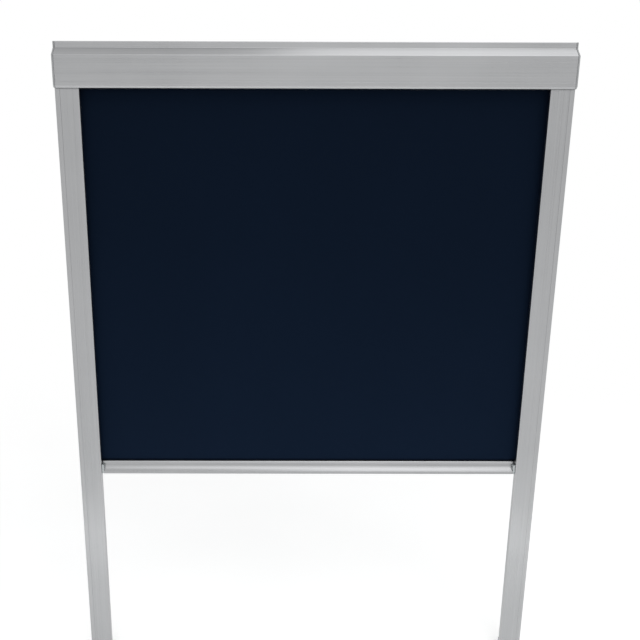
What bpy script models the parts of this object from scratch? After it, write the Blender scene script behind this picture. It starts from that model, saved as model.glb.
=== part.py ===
"""A blackout roller blind for a roof window, built as the separate pieces it comes apart into.

X runs across the window, Z up its slope, and Y into it, towards the glass. The origin lies on the
head box's flat top face, straight above the roller's axis. All sizes are in metres.
"""

import math

import bmesh
import bpy
from mathutils import Matrix, Vector

# Overall sizes, and how far the blind is drawn
BLIND_WIDTH = 0.600
BLIND_HEIGHT = 0.800
BAR_DROP = 0.4657

# Fits between pieces
SEAT_GAP = 0.0003
RUN_GAP = 0.0001
SLIDE_GAP = 0.0005

# Head box: a front cover and a back profile
HEAD_HEIGHT = 0.0515
HEAD_WALL = 0.0012
HEAD_PROUD = 0.005
BROW_HEIGHT = 0.007
BROW_SETBACK = 0.008
SLOPE_HEIGHT = 0.0088
COVER_TOP_DEPTH = 0.006
BAND_HEIGHT = 0.0065
GROOVE_DEPTH = 0.0003
SLOT_WIDTH = 0.007
SLOT_LIP = 0.004
LEDGE_REACH = 0.004
LEDGE_THICKNESS = 0.001
ROLL_CLEARANCE = 0.0012
BROW_ROUND = 0.0008
SLOPE_ROUND = 0.0015
CHIN_ROUND = 0.0002
CHIN_RISE = 0.0018
CHIN_RUN = 0.0005
BACK_ROUND = 0.0015

# Screw ports in the back profile, and their countersunk screws
PORT_SIZE = 0.0065
SCREW_RADIUS = 0.00145
SCREW_HEAD_RADIUS = 0.0026
SCREW_LENGTH = 0.014
RECESS_DEPTH = 0.0006
RECESS_WIDTH = 0.0006
RECESS_ARM = 0.0016

# End caps
CAP_THICKNESS = 0.002
BOSS_RADIUS = 0.0085
BOSS_LENGTH = 0.008
TONGUE_LENGTH = 0.020
TONGUE_DEPTH = 0.012

# Clip brackets and the track that they hold
CLIP_THICKNESS = 0.0015
CLIP_GRIP = 0.034
CLIP_PLATE = 0.016
CLIP_BEND = 0.002
TRACK_HEIGHT = 0.026
TRACK_LIP = 0.0035
FIXING_HOLE_RADIUS = 0.002

# Fabric
FABRIC_THICKNESS = 0.0004
FABRIC_EDGE = 0.009
FABRIC_RESERVE = 0.100
FABRIC_TUCK = 0.003

# Roller, and the spring inside it
TUBE_RADIUS = 0.008
TUBE_WALL = 0.0008
TUBE_END = 0.003
PLUG_LENGTH = 0.020
PLUG_FLANGE = 0.0012
AXLE_RADIUS = 0.0025
BUSH_WALL = 0.0015
SHAFT_RADIUS = 0.003
SHAFT_REACH = 0.200
SHAFT_SQUARE = 0.005
ANCHOR_WALL = 0.0027
ANCHOR_LENGTH = 0.008
SPRING_CLEARANCE = 0.0014
SPRING_WIRE = 0.0006
SPRING_TURNS = 30

# Pull bar: a flange, a finger groove with a lip below it, and a keyhole for the fabric's spline
BAR_HEIGHT = 0.0175
BAR_BACK_WALL = 0.0014
BAR_END_GAP = 0.0029
BAR_SETBACK = 0.0082
FLANGE_HEIGHT = 0.0026
FLANGE_RUN = 0.00115
FLANGE_WALL = 0.0020
FLANGE_REACH = 0.0012
FLANGE_ROUND = 0.0012
FINGER_TOP_RUN = 0.0005
FINGER_TOP_DROP = 0.0036
FINGER_LIP_RUN = 0.0026
FINGER_LIP_RISE = 0.0024
LIP_SETBACK = 0.0014
LIP_BELOW_TOP = 0.0112
LIP_HEIGHT = 0.0039
LIP_SHOULDER = 0.0005
LIP_LEAN = 0.0005
LIP_ROUND = 0.0002
LIP_HEEL = 0.0056
SPLINE_RADIUS = 0.0015
SPLINE_SLOT = 0.0012
SPLINE_DEPTH = 0.0049
POCKET_FRONT = 0.0072
POCKET_TOP = 0.0086
POCKET_WALL = 0.0013

# Guides at the bar's ends, which run in the rails, and their sprung brake pads
GUIDE_PLUG = 0.014
PLATE_SETBACK = 0.0003
TAB_THICKNESS = 0.003
TAB_INSET = 0.0002
BLOCK_LENGTH = 0.0076
BLOCK_FLOOR = 0.0010
PAD_THICKNESS = 0.0018
PAD_MARGIN = 0.0020
PAD_TRAVEL = 0.0006
STEM_SIZE = 0.005
STEM_LENGTH = 0.0035
PAD_SPRING_WIRE = 0.00025
PAD_SPRING_TURNS = 3

# Side rails: a base screwed to the sash, and the channel that clips into it
RAIL_FACE = 0.028
RAIL_WALL = 0.0012
RAIL_DEPTH = 0.0218
BASE_NOSE = 0.0055
BASE_HOOK = 0.004
BASE_LEG = 0.009
CHANNEL_LIP = 0.005
CHANNEL_BACK_SHORT = 0.0058
EDGE_ROUND = 0.0015
SMALL_ROUND = 0.0005
RAIL_HOLES = 3
RAIL_HOLE_INSET = 0.080

# Pile seals in the rails
SEAL_BASE = 0.0034
SEAL_BASE_THICKNESS = 0.0012
SEAL_PILE = 0.0018
SEAL_INSET = 0.0058

# Foot caps that close the rails
FOOT_THICKNESS = 0.003
FOOT_STOP = 0.004
FOOT_PEG = 0.012

# Facets
CORNER_STEPS = 4
ROUND_SIDES = 32
ROLL_SIDES = 48
SMALL_SIDES = 20
GRIP_STEPS = 12
COIL_POINTS = 8
SHARP_ANGLE = math.radians(35)
STRAIGHT_ANGLE = 1e-4
MERGE_DISTANCE = 1e-6
ROUND_SHARE = 0.49

# Finishes: colour, metallic, roughness
SILVER = ("anodised_silver", (0.44, 0.445, 0.453), 1.0, 0.38)
SILVER_PLASTIC = ("silver_plastic", (0.40, 0.40, 0.405), 0.0, 0.45)
GREY_PLASTIC = ("grey_plastic", (0.34, 0.36, 0.36), 0.0, 0.50)
NAVY_CLOTH = ("navy_cloth", (0.006, 0.011, 0.020), 0.0, 0.85)
BLACK_PILE = ("black_pile", (0.012, 0.012, 0.013), 0.0, 0.95)
STEEL = ("zinc_steel", (0.55, 0.55, 0.54), 1.0, 0.35)
SPRING_STEEL = ("spring_steel", (0.35, 0.35, 0.36), 1.0, 0.30)
ACETAL = ("white_acetal", (0.80, 0.79, 0.76), 0.0, 0.40)

# Heights, from the head box's top down
AXIS_Z = -HEAD_HEIGHT / 2
BAR_TOP = -HEAD_HEIGHT - BAR_DROP
BAR_MIDDLE = BAR_TOP - BAR_HEIGHT / 2
RAIL_TOP = -HEAD_HEIGHT - SEAT_GAP
FOOT_TOP = -BLIND_HEIGHT + FOOT_THICKNESS
RAIL_BOTTOM = FOOT_TOP + SEAT_GAP
LOWEST_BAR_TOP = FOOT_TOP + FOOT_STOP + SLIDE_GAP + BAR_HEIGHT


def roll_radius(wound):
    """Radius of the fabric wound on the tube, for the length that is on it."""
    core = TUBE_RADIUS + SEAT_GAP
    return math.sqrt(core**2 + wound * FABRIC_THICKNESS / math.pi)


# Depths behind the rails' face
SPLINE_BORE = SPLINE_RADIUS + SEAT_GAP
FLANGE_BACK = BAR_SETBACK + FLANGE_WALL
FABRIC_SETBACK = FLANGE_BACK + SPLINE_BORE
BAR_DEPTH = FABRIC_SETBACK + SPLINE_BORE + BAR_BACK_WALL
BASE_DEPTH = RAIL_DEPTH + SEAT_GAP + RAIL_WALL
PEG_FRONT = BASE_HOOK + SLIDE_GAP

# Depths, from the roller's axis towards the glass
FABRIC_LENGTH = AXIS_Z - LOWEST_BAR_TOP + FABRIC_RESERVE
ROLL_NOW = roll_radius(FABRIC_LENGTH - (AXIS_Z - BAR_TOP))
ROLL_FULL = roll_radius(FABRIC_LENGTH)
FABRIC_Y = -(ROLL_NOW + SEAT_GAP + FABRIC_THICKNESS / 2)
RAIL_Y = FABRIC_Y - FABRIC_SETBACK
HEAD_Y = RAIL_Y - HEAD_PROUD
BROW_Y = HEAD_Y + BROW_SETBACK
SEAM_Y = BROW_Y + COVER_TOP_DEPTH
BACK_Y = ROLL_FULL + ROLL_CLEARANCE + HEAD_WALL
SLOT_FRONT = FABRIC_Y - SLOT_WIDTH / 2
SLOT_BACK = FABRIC_Y + SLOT_WIDTH / 2
PAD_Y = RAIL_Y + RAIL_DEPTH / 2

# Distances in from the sash
PEG_OUTER = RAIL_WALL + SEAT_GAP
PEG_INNER = BASE_NOSE - SEAT_GAP
CHANNEL_OUTER = BASE_NOSE + SEAT_GAP
TRACK_FLOOR = CHANNEL_OUTER + RAIL_WALL
SEAL_MIDDLE = RAIL_FACE - SEAL_INSET - SEAL_BASE / 2

# Places across the blind, from its middle
HALF = BLIND_WIDTH / 2
HEAD_HALF = HALF - CAP_THICKNESS - SEAT_GAP
LIP_X = HALF - RAIL_FACE
FABRIC_HALF = LIP_X + FABRIC_EDGE
BAR_HALF = LIP_X - BAR_END_GAP
FLANGE_HALF = LIP_X + FLANGE_REACH
BOSS_FACE = HALF - CAP_THICKNESS - BOSS_LENGTH
AXLE_END = HALF - CAP_THICKNESS - 2 * SLIDE_GAP
TUBE_HALF = FABRIC_HALF + TUBE_END
TUBE_INSIDE = TUBE_RADIUS - TUBE_WALL
PLUG_RADIUS = TUBE_INSIDE - SEAT_GAP
PLUG_INNER = TUBE_HALF - PLUG_LENGTH

# The guide: its end plate's two faces, its block's two faces, and the brake pad's two faces
PLATE_INNER = BAR_HALF + SEAT_GAP
PLATE_OUTER = LIP_X - SLIDE_GAP
PLATE_MIDDLE = (PLATE_INNER + PLATE_OUTER) / 2
PAD_FACE = HALF - TRACK_FLOOR - SEAT_GAP
PAD_BACK = PAD_FACE - PAD_THICKNESS
BLOCK_OUTER = PAD_BACK - PAD_TRAVEL - 2 * RUN_GAP
BLOCK_INNER = BLOCK_OUTER - BLOCK_LENGTH

# Screw ports, in the head box's two back corners
PORT_Y = BACK_Y - HEAD_WALL - PORT_SIZE / 2
PORT_DEPTH = HEAD_WALL + PORT_SIZE / 2
PORT_HEIGHTS = {"upper": -PORT_DEPTH, "lower": -HEAD_HEIGHT + PORT_DEPTH}

SIDES = {"left": -1, "right": 1}


def clear_scene():
    for obj in list(bpy.data.objects):
        bpy.data.objects.remove(obj, do_unlink=True)


def finish(name, recipe):
    """A piece's own material, from the finish that it shares with others."""
    finish_name, colour, metallic, roughness = recipe
    made = bpy.data.materials.new(f"{name}_{finish_name}")
    made.use_nodes = True
    shader = made.node_tree.nodes["Principled BSDF"]
    shader.inputs["Base Color"].default_value = (*colour, 1.0)
    shader.inputs["Metallic"].default_value = metallic
    shader.inputs["Roughness"].default_value = roughness
    return made


def add_object(name, mesh, recipe):
    """An object with its finish; with none, it is a tool for a cut or a join."""
    obj = bpy.data.objects.new(name, mesh)
    bpy.context.scene.collection.objects.link(obj)
    if recipe:
        mesh.materials.append(finish(name, recipe))
    else:
        obj.hide_render = True
        obj.display_type = "WIRE"
    return obj


def mesh_object(name, bm, recipe, smooth=False):
    bmesh.ops.recalc_face_normals(bm, faces=bm.faces)
    mesh = bpy.data.meshes.new(name)
    bm.to_mesh(mesh)
    bm.free()
    if smooth:
        mesh.shade_smooth()
        mesh.set_sharp_from_angle(angle=SHARP_ANGLE)
    return add_object(name, mesh, recipe)


def prism(name, outline, axis, ends, recipe=None):
    """A closed outline pushed along one axis; it is given in the other two axes, in X, Y, Z order."""
    low, high = sorted(ends)
    place = {
        "X": lambda p, t: (t, p[0], p[1]),
        "Y": lambda p, t: (p[0], t, p[1]),
        "Z": lambda p, t: (p[0], p[1], t),
    }[axis]
    bm = bmesh.new()
    face = bm.faces.new([bm.verts.new(place(p, low)) for p in outline])
    grown = bmesh.ops.extrude_face_region(bm, geom=[face])
    moved = [v for v in grown["geom"] if isinstance(v, bmesh.types.BMVert)]
    bmesh.ops.translate(bm, verts=moved, vec=Vector(place((0, 0), high - low)))
    return mesh_object(name, bm, recipe)


def rectangle(a, b):
    """The outline between two limits on each of two axes."""
    return [(a[0], b[0]), (a[1], b[0]), (a[1], b[1]), (a[0], b[1])]


def around(middle, half):
    return middle - half, middle + half


def turned(name, profile, centre, recipe=None, sides=ROUND_SIDES):
    """A profile of (x, radius) points turned about a line along X through centre (y, z).

    A profile whose first and last radius are 0 is solid; any other one is closed on itself.
    """
    bm = bmesh.new()
    verts = [bm.verts.new((x, centre[0], centre[1] + radius)) for x, radius in profile]
    edges = [bm.edges.new(pair) for pair in zip(verts, verts[1:])]
    if profile[0][1] > 0:
        edges.append(bm.edges.new((verts[-1], verts[0])))
    bmesh.ops.spin(
        bm,
        geom=verts + edges,
        cent=(0, centre[0], centre[1]),
        axis=(1, 0, 0),
        angle=math.tau,
        steps=sides,
        use_merge=True,
    )
    bmesh.ops.remove_doubles(bm, verts=bm.verts, dist=MERGE_DISTANCE)
    middle = Vector(centre)
    poles = [v for v in bm.verts if (v.co.yz - middle).length < MERGE_DISTANCE]
    bmesh.ops.dissolve_verts(bm, verts=poles)
    return mesh_object(name, bm, recipe, smooth=True)


def mirrored(profile, side):
    return [(side * x, radius) for x, radius in profile]


ROLLER_CENTRE = (0, AXIS_Z)


def ring(name, ends, inner, outer, recipe=None, sides=ROUND_SIDES):
    low, high = ends
    profile = [(low, inner), (high, inner), (high, outer), (low, outer)]
    return turned(name, profile, ROLLER_CENTRE, recipe, sides)


def rod(name, ends, radius, recipe=None, centre=ROLLER_CENTRE, sides=ROUND_SIDES):
    low, high = ends
    profile = [(low, 0), (low, radius), (high, radius), (high, 0)]
    return turned(name, profile, centre, recipe, sides)


def combine(obj, tool, operation):
    """A live Boolean; its tool follows the piece."""
    change = obj.modifiers.new(f"{operation.lower()}_{tool.name}", "BOOLEAN")
    change.operation = operation
    change.solver = "EXACT"
    change.object = tool
    tool.parent = obj


def join(obj, tool):
    combine(obj, tool, "UNION")


def cut(obj, tool):
    combine(obj, tool, "DIFFERENCE")


def hang_on(name, place, pieces):
    """An empty that marks a joint's axis; the pieces become its children and stay where they are."""
    axis = bpy.data.objects.new(name, None)
    bpy.context.scene.collection.objects.link(axis)
    axis.location = place
    for piece in pieces:
        obj = bpy.data.objects[piece]
        obj.parent = axis
        obj.matrix_parent_inverse = Matrix.Translation(-Vector(place))


def coil(name, ends, radius, wire, turns, centre):
    """One unbroken helix along X that fills the space between two places."""
    low, high = min(ends) + wire, max(ends) - wire
    steps = turns * COIL_POINTS
    points = []
    for i in range(steps + 1):
        turn = math.tau * i / COIL_POINTS
        x = low + (high - low) * i / steps
        points.append(Vector((x, centre[0] + radius * math.cos(turn), centre[1] + radius * math.sin(turn))))
    curve = bpy.data.curves.new(name, "CURVE")
    curve.dimensions = "3D"
    curve.bevel_depth = wire
    curve.bevel_resolution = 1
    curve.use_fill_caps = True
    spline = curve.splines.new("POLY")
    spline.points.add(steps)
    for target, point in zip(spline.points, points):
        target.co = (*point, 1)
    apart = [(a - b).length for a, b in zip(points, points[COIL_POINTS:])]
    print(f"{name}: least gap between its turns {(min(apart) - 2 * wire) * 1000:.2f} mm")
    add_object(name, curve, SPRING_STEEL)


def arc_corner(before, corner, after, radius):
    """The points that round one corner, with the radius held to what its two sides can take."""
    a = (before - corner).normalized()
    b = (after - corner).normalized()
    half_angle = a.angle(b) / 2
    if radius <= 0 or math.pi / 2 - half_angle < STRAIGHT_ANGLE:
        return [corner]
    room = ROUND_SHARE * min((before - corner).length, (after - corner).length)
    reach = min(radius / math.tan(half_angle), room)
    radius = reach * math.tan(half_angle)
    centre = corner + (a + b).normalized() * (radius / math.sin(half_angle))
    start = corner + a * reach - centre
    # the angle between two 2D vectors counts clockwise, and a rotation counter-clockwise
    sweep = -start.angle_signed(corner + b * reach - centre)
    turns = [Matrix.Rotation(sweep * i / CORNER_STEPS, 2) for i in range(CORNER_STEPS + 1)]
    return [centre + turn @ start for turn in turns]


def rounded(corners, radii, closed=False):
    """An outline with its corners rounded; an open one keeps its two end points sharp."""
    corners = [Vector(c) for c in corners]
    count = len(corners)
    points = []
    for i, corner in enumerate(corners):
        if not closed and i in (0, count - 1):
            points.append(corner)
        else:
            radius = radii[i if closed else i - 1]
            points += arc_corner(corners[i - 1], corner, corners[(i + 1) % count], radius)
    return points


def shell(corners, radii, wall):
    """The closed outline of a bent wall: its outer corners in order, with the wall on their left."""
    corners = [Vector(c) for c in corners]
    normals = []
    for a, b in zip(corners, corners[1:]):
        along = (b - a).normalized()
        normals.append(Vector((-along.y, along.x)))
    inner = [corners[0] + normals[0] * wall]
    inner_radii = []
    for i in range(1, len(corners) - 1):
        before, after = normals[i - 1], normals[i]
        inner.append(corners[i] + (before + after) * wall / (1 + before.dot(after)))
        left_turn = before.x * after.y - before.y * after.x > 0
        inner_radii.append(max(radii[i - 1] - wall, 0) if left_turn else radii[i - 1] + wall)
    inner.append(corners[-1] + normals[-1] * wall)
    return rounded(corners, radii) + list(reversed(rounded(inner, inner_radii)))


def at_rail(points, side):
    """From (distance in from the sash, depth behind the rail's face) to (x, y)."""
    return [(side * (HALF - u), RAIL_Y + v) for u, v in points]


def at_bar(points):
    """From (depth behind the rail's face, height below the bar's top) to (y, z)."""
    return [(RAIL_Y + v, BAR_TOP - drop) for v, drop in points]


# Head box


def head_contour():
    """The head box seen from its end, where the caps close it."""
    corners = [
        (BACK_Y, 0),
        (BROW_Y, 0),
        (BROW_Y, -BROW_HEIGHT),
        (HEAD_Y, -BROW_HEIGHT - SLOPE_HEIGHT),
        (HEAD_Y, -HEAD_HEIGHT + CHIN_RISE),
        (HEAD_Y + CHIN_RUN, -HEAD_HEIGHT),
        (BACK_Y, -HEAD_HEIGHT),
    ]
    radii = [BACK_ROUND, BROW_ROUND, BROW_ROUND, SLOPE_ROUND, 0, CHIN_ROUND, BACK_ROUND]
    return rounded(corners, radii, closed=True)


def cap_tongue(name, side, gap=0):
    """The end cap's tongue, which enters the rail; grown by a gap it is the notch for it."""
    widths = (PEG_OUTER - gap, PEG_INNER + gap)
    depths = (PEG_FRONT - gap, PEG_FRONT + TONGUE_DEPTH + gap)
    outline = at_rail(rectangle(widths, depths), side)
    heights = (-HEAD_HEIGHT - TONGUE_LENGTH, -HEAD_HEIGHT + SLOT_LIP + gap)
    return prism(name, outline, "Z", heights)


def make_head_cover():
    corners = [
        (SEAM_Y, 0),
        (BROW_Y, 0),
        (BROW_Y, -BROW_HEIGHT),
        (HEAD_Y, -BROW_HEIGHT - SLOPE_HEIGHT),
        (HEAD_Y, -HEAD_HEIGHT + CHIN_RISE),
        (HEAD_Y + CHIN_RUN, -HEAD_HEIGHT),
        (SLOT_FRONT, -HEAD_HEIGHT),
        (SLOT_FRONT, -HEAD_HEIGHT + SLOT_LIP),
    ]
    radii = [BROW_ROUND, BROW_ROUND, SLOPE_ROUND, 0, CHIN_ROUND, SMALL_ROUND]
    outline = shell(corners, radii, HEAD_WALL)
    cover = prism("head_cover", outline, "X", (-HEAD_HALF, HEAD_HALF), SILVER)

    # the fine line above the lower band
    line = -HEAD_HEIGHT + BAND_HEIGHT
    front = HEAD_Y - GROOVE_DEPTH
    spread = 2 * GROOVE_DEPTH
    vee = [(front, line - spread), (HEAD_Y + GROOVE_DEPTH, line), (front, line + spread)]
    cut(cover, prism("band_groove", vee, "X", (-HALF, HALF)))
    for name, side in SIDES.items():
        cut(cover, cap_tongue(f"cover_notch_{name}", side, SEAT_GAP))


def make_head_back():
    corners = [
        (SLOT_BACK, -HEAD_HEIGHT + SLOT_LIP),
        (SLOT_BACK, -HEAD_HEIGHT),
        (BACK_Y, -HEAD_HEIGHT),
        (BACK_Y, 0),
        (SEAM_Y + SEAT_GAP, 0),
    ]
    outline = shell(corners, [SMALL_ROUND, BACK_ROUND, BACK_ROUND], HEAD_WALL)
    back = prism("head_back", outline, "X", (-HEAD_HALF, HEAD_HALF), SILVER)
    add_cover_ledge(back)
    add_bracket_track(back)
    add_screw_ports(back)
    for name, side in SIDES.items():
        cut(back, cap_tongue(f"back_notch_{name}", side, SEAT_GAP))


def add_cover_ledge(back):
    """The ledge that the cover's top edge rests on."""
    under = -HEAD_WALL - SEAT_GAP
    root = SEAM_Y + 2 * SEAT_GAP
    front, rear = around(SEAM_Y, LEDGE_REACH)
    ledge = [
        (front, under),
        (root, under),
        (root, -HEAD_WALL / 2),
        (rear, -HEAD_WALL / 2),
        (rear, under - LEDGE_THICKNESS),
        (front, under - LEDGE_THICKNESS),
    ]
    join(back, prism("cover_ledge", ledge, "X", (-HEAD_HALF, HEAD_HALF)))


def add_bracket_track(back):
    """The two lips that hold the clip brackets on the box's back."""
    reach = BACK_Y + CLIP_THICKNESS + 2 * SEAT_GAP + HEAD_WALL
    root = BACK_Y - HEAD_WALL / 2
    for name, way in (("upper", 1), ("lower", -1)):
        edge = AXIS_Z + way * TRACK_HEIGHT / 2
        lip = [
            (root, edge),
            (reach, edge),
            (reach, edge - way * TRACK_LIP),
            (reach - HEAD_WALL, edge - way * TRACK_LIP),
            (reach - HEAD_WALL, edge - way * HEAD_WALL),
            (root, edge - way * HEAD_WALL),
        ]
        join(back, prism(f"track_{name}", lip, "X", (-HEAD_HALF, HEAD_HALF)))


def add_screw_ports(back):
    """The bored corners that take the end caps' screws."""
    depths = (BACK_Y - HEAD_WALL - PORT_SIZE, BACK_Y - HEAD_WALL / 2)
    for name, z in PORT_HEIGHTS.items():
        inward = math.copysign(1, AXIS_Z - z)
        heights = sorted((z + inward * PORT_SIZE / 2, z - inward * (PORT_SIZE + HEAD_WALL) / 2))
        outline = rectangle(depths, heights)
        join(back, prism(f"port_{name}", outline, "X", (-HEAD_HALF, HEAD_HALF)))
        bore = SCREW_RADIUS + SEAT_GAP
        hole = rod(f"port_bore_{name}", (-HALF, HALF), bore, None, (PORT_Y, z), SMALL_SIDES)
        cut(back, hole)


def make_end_cap(name, side):
    """The cap on one end, with its boss for the roller and its tongue into the rail."""
    plate = (side * (HALF - CAP_THICKNESS), side * HALF)
    cap = prism(f"end_cap_{name}", head_contour(), "X", plate, SILVER_PLASTIC)
    root = side * (HALF - CAP_THICKNESS / 2)
    join(cap, rod(f"boss_{name}", (root, side * BOSS_FACE), BOSS_RADIUS))
    join(cap, cap_tongue(f"tongue_{name}", side))
    bore = (side * (HALF - CAP_THICKNESS - SEAT_GAP), side * (BOSS_FACE - SLIDE_GAP))
    if side < 0:
        radius = AXLE_RADIUS + RUN_GAP + BUSH_WALL + SEAT_GAP
        cut(cap, rod(f"bush_seat_{name}", bore, radius))
    else:
        half = SHAFT_SQUARE / 2 + SEAT_GAP
        socket = rectangle((-half, half), around(AXIS_Z, half))
        cut(cap, prism(f"shaft_socket_{name}", socket, "X", bore))
    for row, z in PORT_HEIGHTS.items():
        profile = mirrored(screw_profile(SEAT_GAP, HALF, SLIDE_GAP), side)
        cut(cap, turned(f"screw_hole_{name}_{row}", profile, (PORT_Y, z), None, SMALL_SIDES))


def screw_profile(gap, face, proud=0):
    """A countersunk screw's profile; grown by a gap, and run past the face, it is its hole."""
    profile = [
        (face, SCREW_HEAD_RADIUS + gap),
        (face - SCREW_HEAD_RADIUS + SCREW_RADIUS, SCREW_RADIUS + gap),
        (HALF - SCREW_LENGTH, SCREW_RADIUS + gap),
        (HALF - SCREW_LENGTH, 0),
    ]
    if proud:
        profile.insert(0, (face + proud, SCREW_HEAD_RADIUS + gap))
    return [(face + proud, 0)] + profile


def make_cap_screws(name, side):
    """Two countersunk screws a side, each with a cross recess in its head."""
    half = RECESS_WIDTH / 2
    quarter = [(half, half), (half, RECESS_ARM), (-half, RECESS_ARM)]
    cross = [Matrix.Rotation(math.pi / 2 * i, 2) @ Vector(p) for i in range(4) for p in quarter]
    face = HALF - SEAT_GAP
    for row, z in PORT_HEIGHTS.items():
        profile = mirrored(screw_profile(0, face), side)
        screw = turned(f"cap_screw_{name}_{row}", profile, (PORT_Y, z), STEEL, SMALL_SIDES)
        outline = [(PORT_Y + p.x, z + p.y) for p in cross]
        depth = (side * (face - RECESS_DEPTH), side * HALF)
        cut(screw, prism(f"recess_{name}_{row}", outline, "X", depth))


def make_clip_bracket(name, side):
    """A folded plate: one leg in the head box's track, the other against the sash's side."""
    near = BACK_Y + SEAT_GAP
    far = near + CLIP_THICKNESS + CLIP_PLATE
    corners = [(side * (HALF - CLIP_GRIP), near), (side * HALF, near), (side * HALF, far)]
    if side < 0:
        corners.reverse()
    half = TRACK_HEIGHT / 2 - HEAD_WALL - SEAT_GAP
    outline = shell(corners, [CLIP_BEND], CLIP_THICKNESS)
    bracket = prism(f"clip_bracket_{name}", outline, "Z", around(AXIS_Z, half), STEEL)
    y = far - CLIP_PLATE / 2
    for row, z in zip(("upper", "lower"), around(AXIS_Z, half / 2)):
        cut(bracket, through_hole(f"fixing_{name}_{row}", side, y, z))


def through_hole(name, side, y, z):
    """A screw hole through whatever lies against the sash."""
    ends = (side * (HALF - BASE_NOSE / 2), side * (HALF + SLIDE_GAP))
    return rod(name, ends, FIXING_HOLE_RADIUS, None, (y, z), SMALL_SIDES)


# Roller


def make_roller_tube():
    ring("roller_tube", (-TUBE_HALF, TUBE_HALF), TUBE_INSIDE, TUBE_RADIUS, SILVER)


def make_fabric_roll():
    ends = (-FABRIC_HALF, FABRIC_HALF)
    ring("fabric_roll", ends, TUBE_RADIUS + SEAT_GAP, ROLL_NOW, NAVY_CLOTH, ROLL_SIDES)


def flanged_plug(bore):
    """A plug in the tube's end with a flange outside it: the points round its outside."""
    seat = TUBE_HALF + SEAT_GAP
    return [
        (PLUG_INNER, bore),
        (PLUG_INNER, PLUG_RADIUS),
        (seat, PLUG_RADIUS),
        (seat, TUBE_RADIUS),
        (seat + PLUG_FLANGE, TUBE_RADIUS),
    ]


def make_idle_end():
    """The left end: the plug turns on its own axle, in a bush in the cap."""
    end = TUBE_HALF + SEAT_GAP + PLUG_FLANGE
    axle = [(end, AXLE_RADIUS), (AXLE_END, AXLE_RADIUS), (AXLE_END, 0)]
    turned("idle_plug", mirrored(flanged_plug(0) + axle, -1), ROLLER_CENTRE, ACETAL)
    bore = AXLE_RADIUS + RUN_GAP
    collar = BOSS_FACE - SEAT_GAP
    bush = [
        (AXLE_END, bore),
        (AXLE_END, bore + BUSH_WALL),
        (collar, bore + BUSH_WALL),
        (collar, bore + 2 * BUSH_WALL),
        (collar - PLUG_FLANGE, bore + 2 * BUSH_WALL),
        (collar - PLUG_FLANGE, bore),
    ]
    turned("idle_bush", mirrored(bush, -1), ROLLER_CENTRE, ACETAL)


def make_sprung_end():
    """The right end turns about a fixed shaft, which the cap holds by its square end."""
    bore = SHAFT_RADIUS + RUN_GAP
    profile = flanged_plug(bore)
    turned("bearing_plug", profile + [(profile[-1][0], bore)], ROLLER_CENTRE, ACETAL)
    shaft_end = HALF - SHAFT_REACH
    shaft = rod("spring_shaft", (shaft_end, BOSS_FACE - SEAT_GAP), SHAFT_RADIUS, STEEL)
    half = SHAFT_SQUARE / 2
    square = rectangle((-half, half), around(AXIS_Z, half))
    join(shaft, prism("shaft_square", square, "X", (BOSS_FACE - 2 * SEAT_GAP, AXLE_END)))

    # the spring winds up between the plug that the tube drives and the anchor on the shaft
    drive_face = shaft_end + ANCHOR_LENGTH
    ring("drive_plug", (shaft_end, drive_face), bore, PLUG_RADIUS, ACETAL)
    anchor = SHAFT_RADIUS + SEAT_GAP
    anchor_end = PLUG_INNER - SLIDE_GAP
    anchor_face = anchor_end - ANCHOR_LENGTH
    ring("spring_anchor", (anchor_face, anchor_end), anchor, anchor + ANCHOR_WALL, ACETAL)
    ends = (drive_face + SEAT_GAP, anchor_face - SEAT_GAP)
    radius = SHAFT_RADIUS + SPRING_CLEARANCE + SPRING_WIRE
    coil("torsion_spring", ends, radius, SPRING_WIRE, SPRING_TURNS, ROLLER_CENTRE)


def make_fabric_sheet():
    """The hanging sheet, from the front of the roll down into the bar, where it narrows."""
    narrow = BAR_HALF - SEAT_GAP
    hem = BAR_TOP + SEAT_GAP
    tuck = BAR_TOP - FABRIC_TUCK
    outline = [
        (-FABRIC_HALF, AXIS_Z),
        (-FABRIC_HALF, hem),
        (-narrow, hem),
        (-narrow, tuck),
        (narrow, tuck),
        (narrow, hem),
        (FABRIC_HALF, hem),
        (FABRIC_HALF, AXIS_Z),
    ]
    prism("fabric_sheet", outline, "Y", around(FABRIC_Y, FABRIC_THICKNESS / 2), NAVY_CLOTH)


# Pull bar


def finger_curve():
    """The finger groove's curve, from the flange's lower edge down and forwards to the lip."""
    start = Vector((BAR_SETBACK - FLANGE_RUN, FLANGE_HEIGHT))
    end = Vector((LIP_SETBACK + LIP_LEAN + LIP_SHOULDER, LIP_BELOW_TOP))
    first = start + Vector((-FINGER_TOP_RUN, FINGER_TOP_DROP))
    second = end + Vector((FINGER_LIP_RUN, -FINGER_LIP_RISE))
    points = []
    for i in range(GRIP_STEPS + 1):
        t = i / GRIP_STEPS
        s = 1 - t
        points.append(s**3 * start + 3 * s * s * t * first + 3 * s * t * t * second + t**3 * end)
    return points


def bar_contour():
    """The bar's section: its top and flange, the finger groove, and the lip and underside."""
    curve = finger_curve()
    top = rounded([(BAR_DEPTH, 0), (BAR_SETBACK, 0), curve[0]], [FLANGE_ROUND])
    lip = [
        curve[-1],
        (LIP_SETBACK + LIP_LEAN, LIP_BELOW_TOP + LIP_SHOULDER),
        (LIP_SETBACK, LIP_BELOW_TOP + LIP_HEIGHT),
        (LIP_SETBACK + LIP_HEEL, BAR_HEIGHT),
        (BAR_DEPTH, BAR_HEIGHT),
    ]
    bottom = rounded(lip, [LIP_ROUND, SMALL_ROUND, EDGE_ROUND])
    return [tuple(p) for p in top[:-1] + curve[:-1] + bottom]


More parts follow.
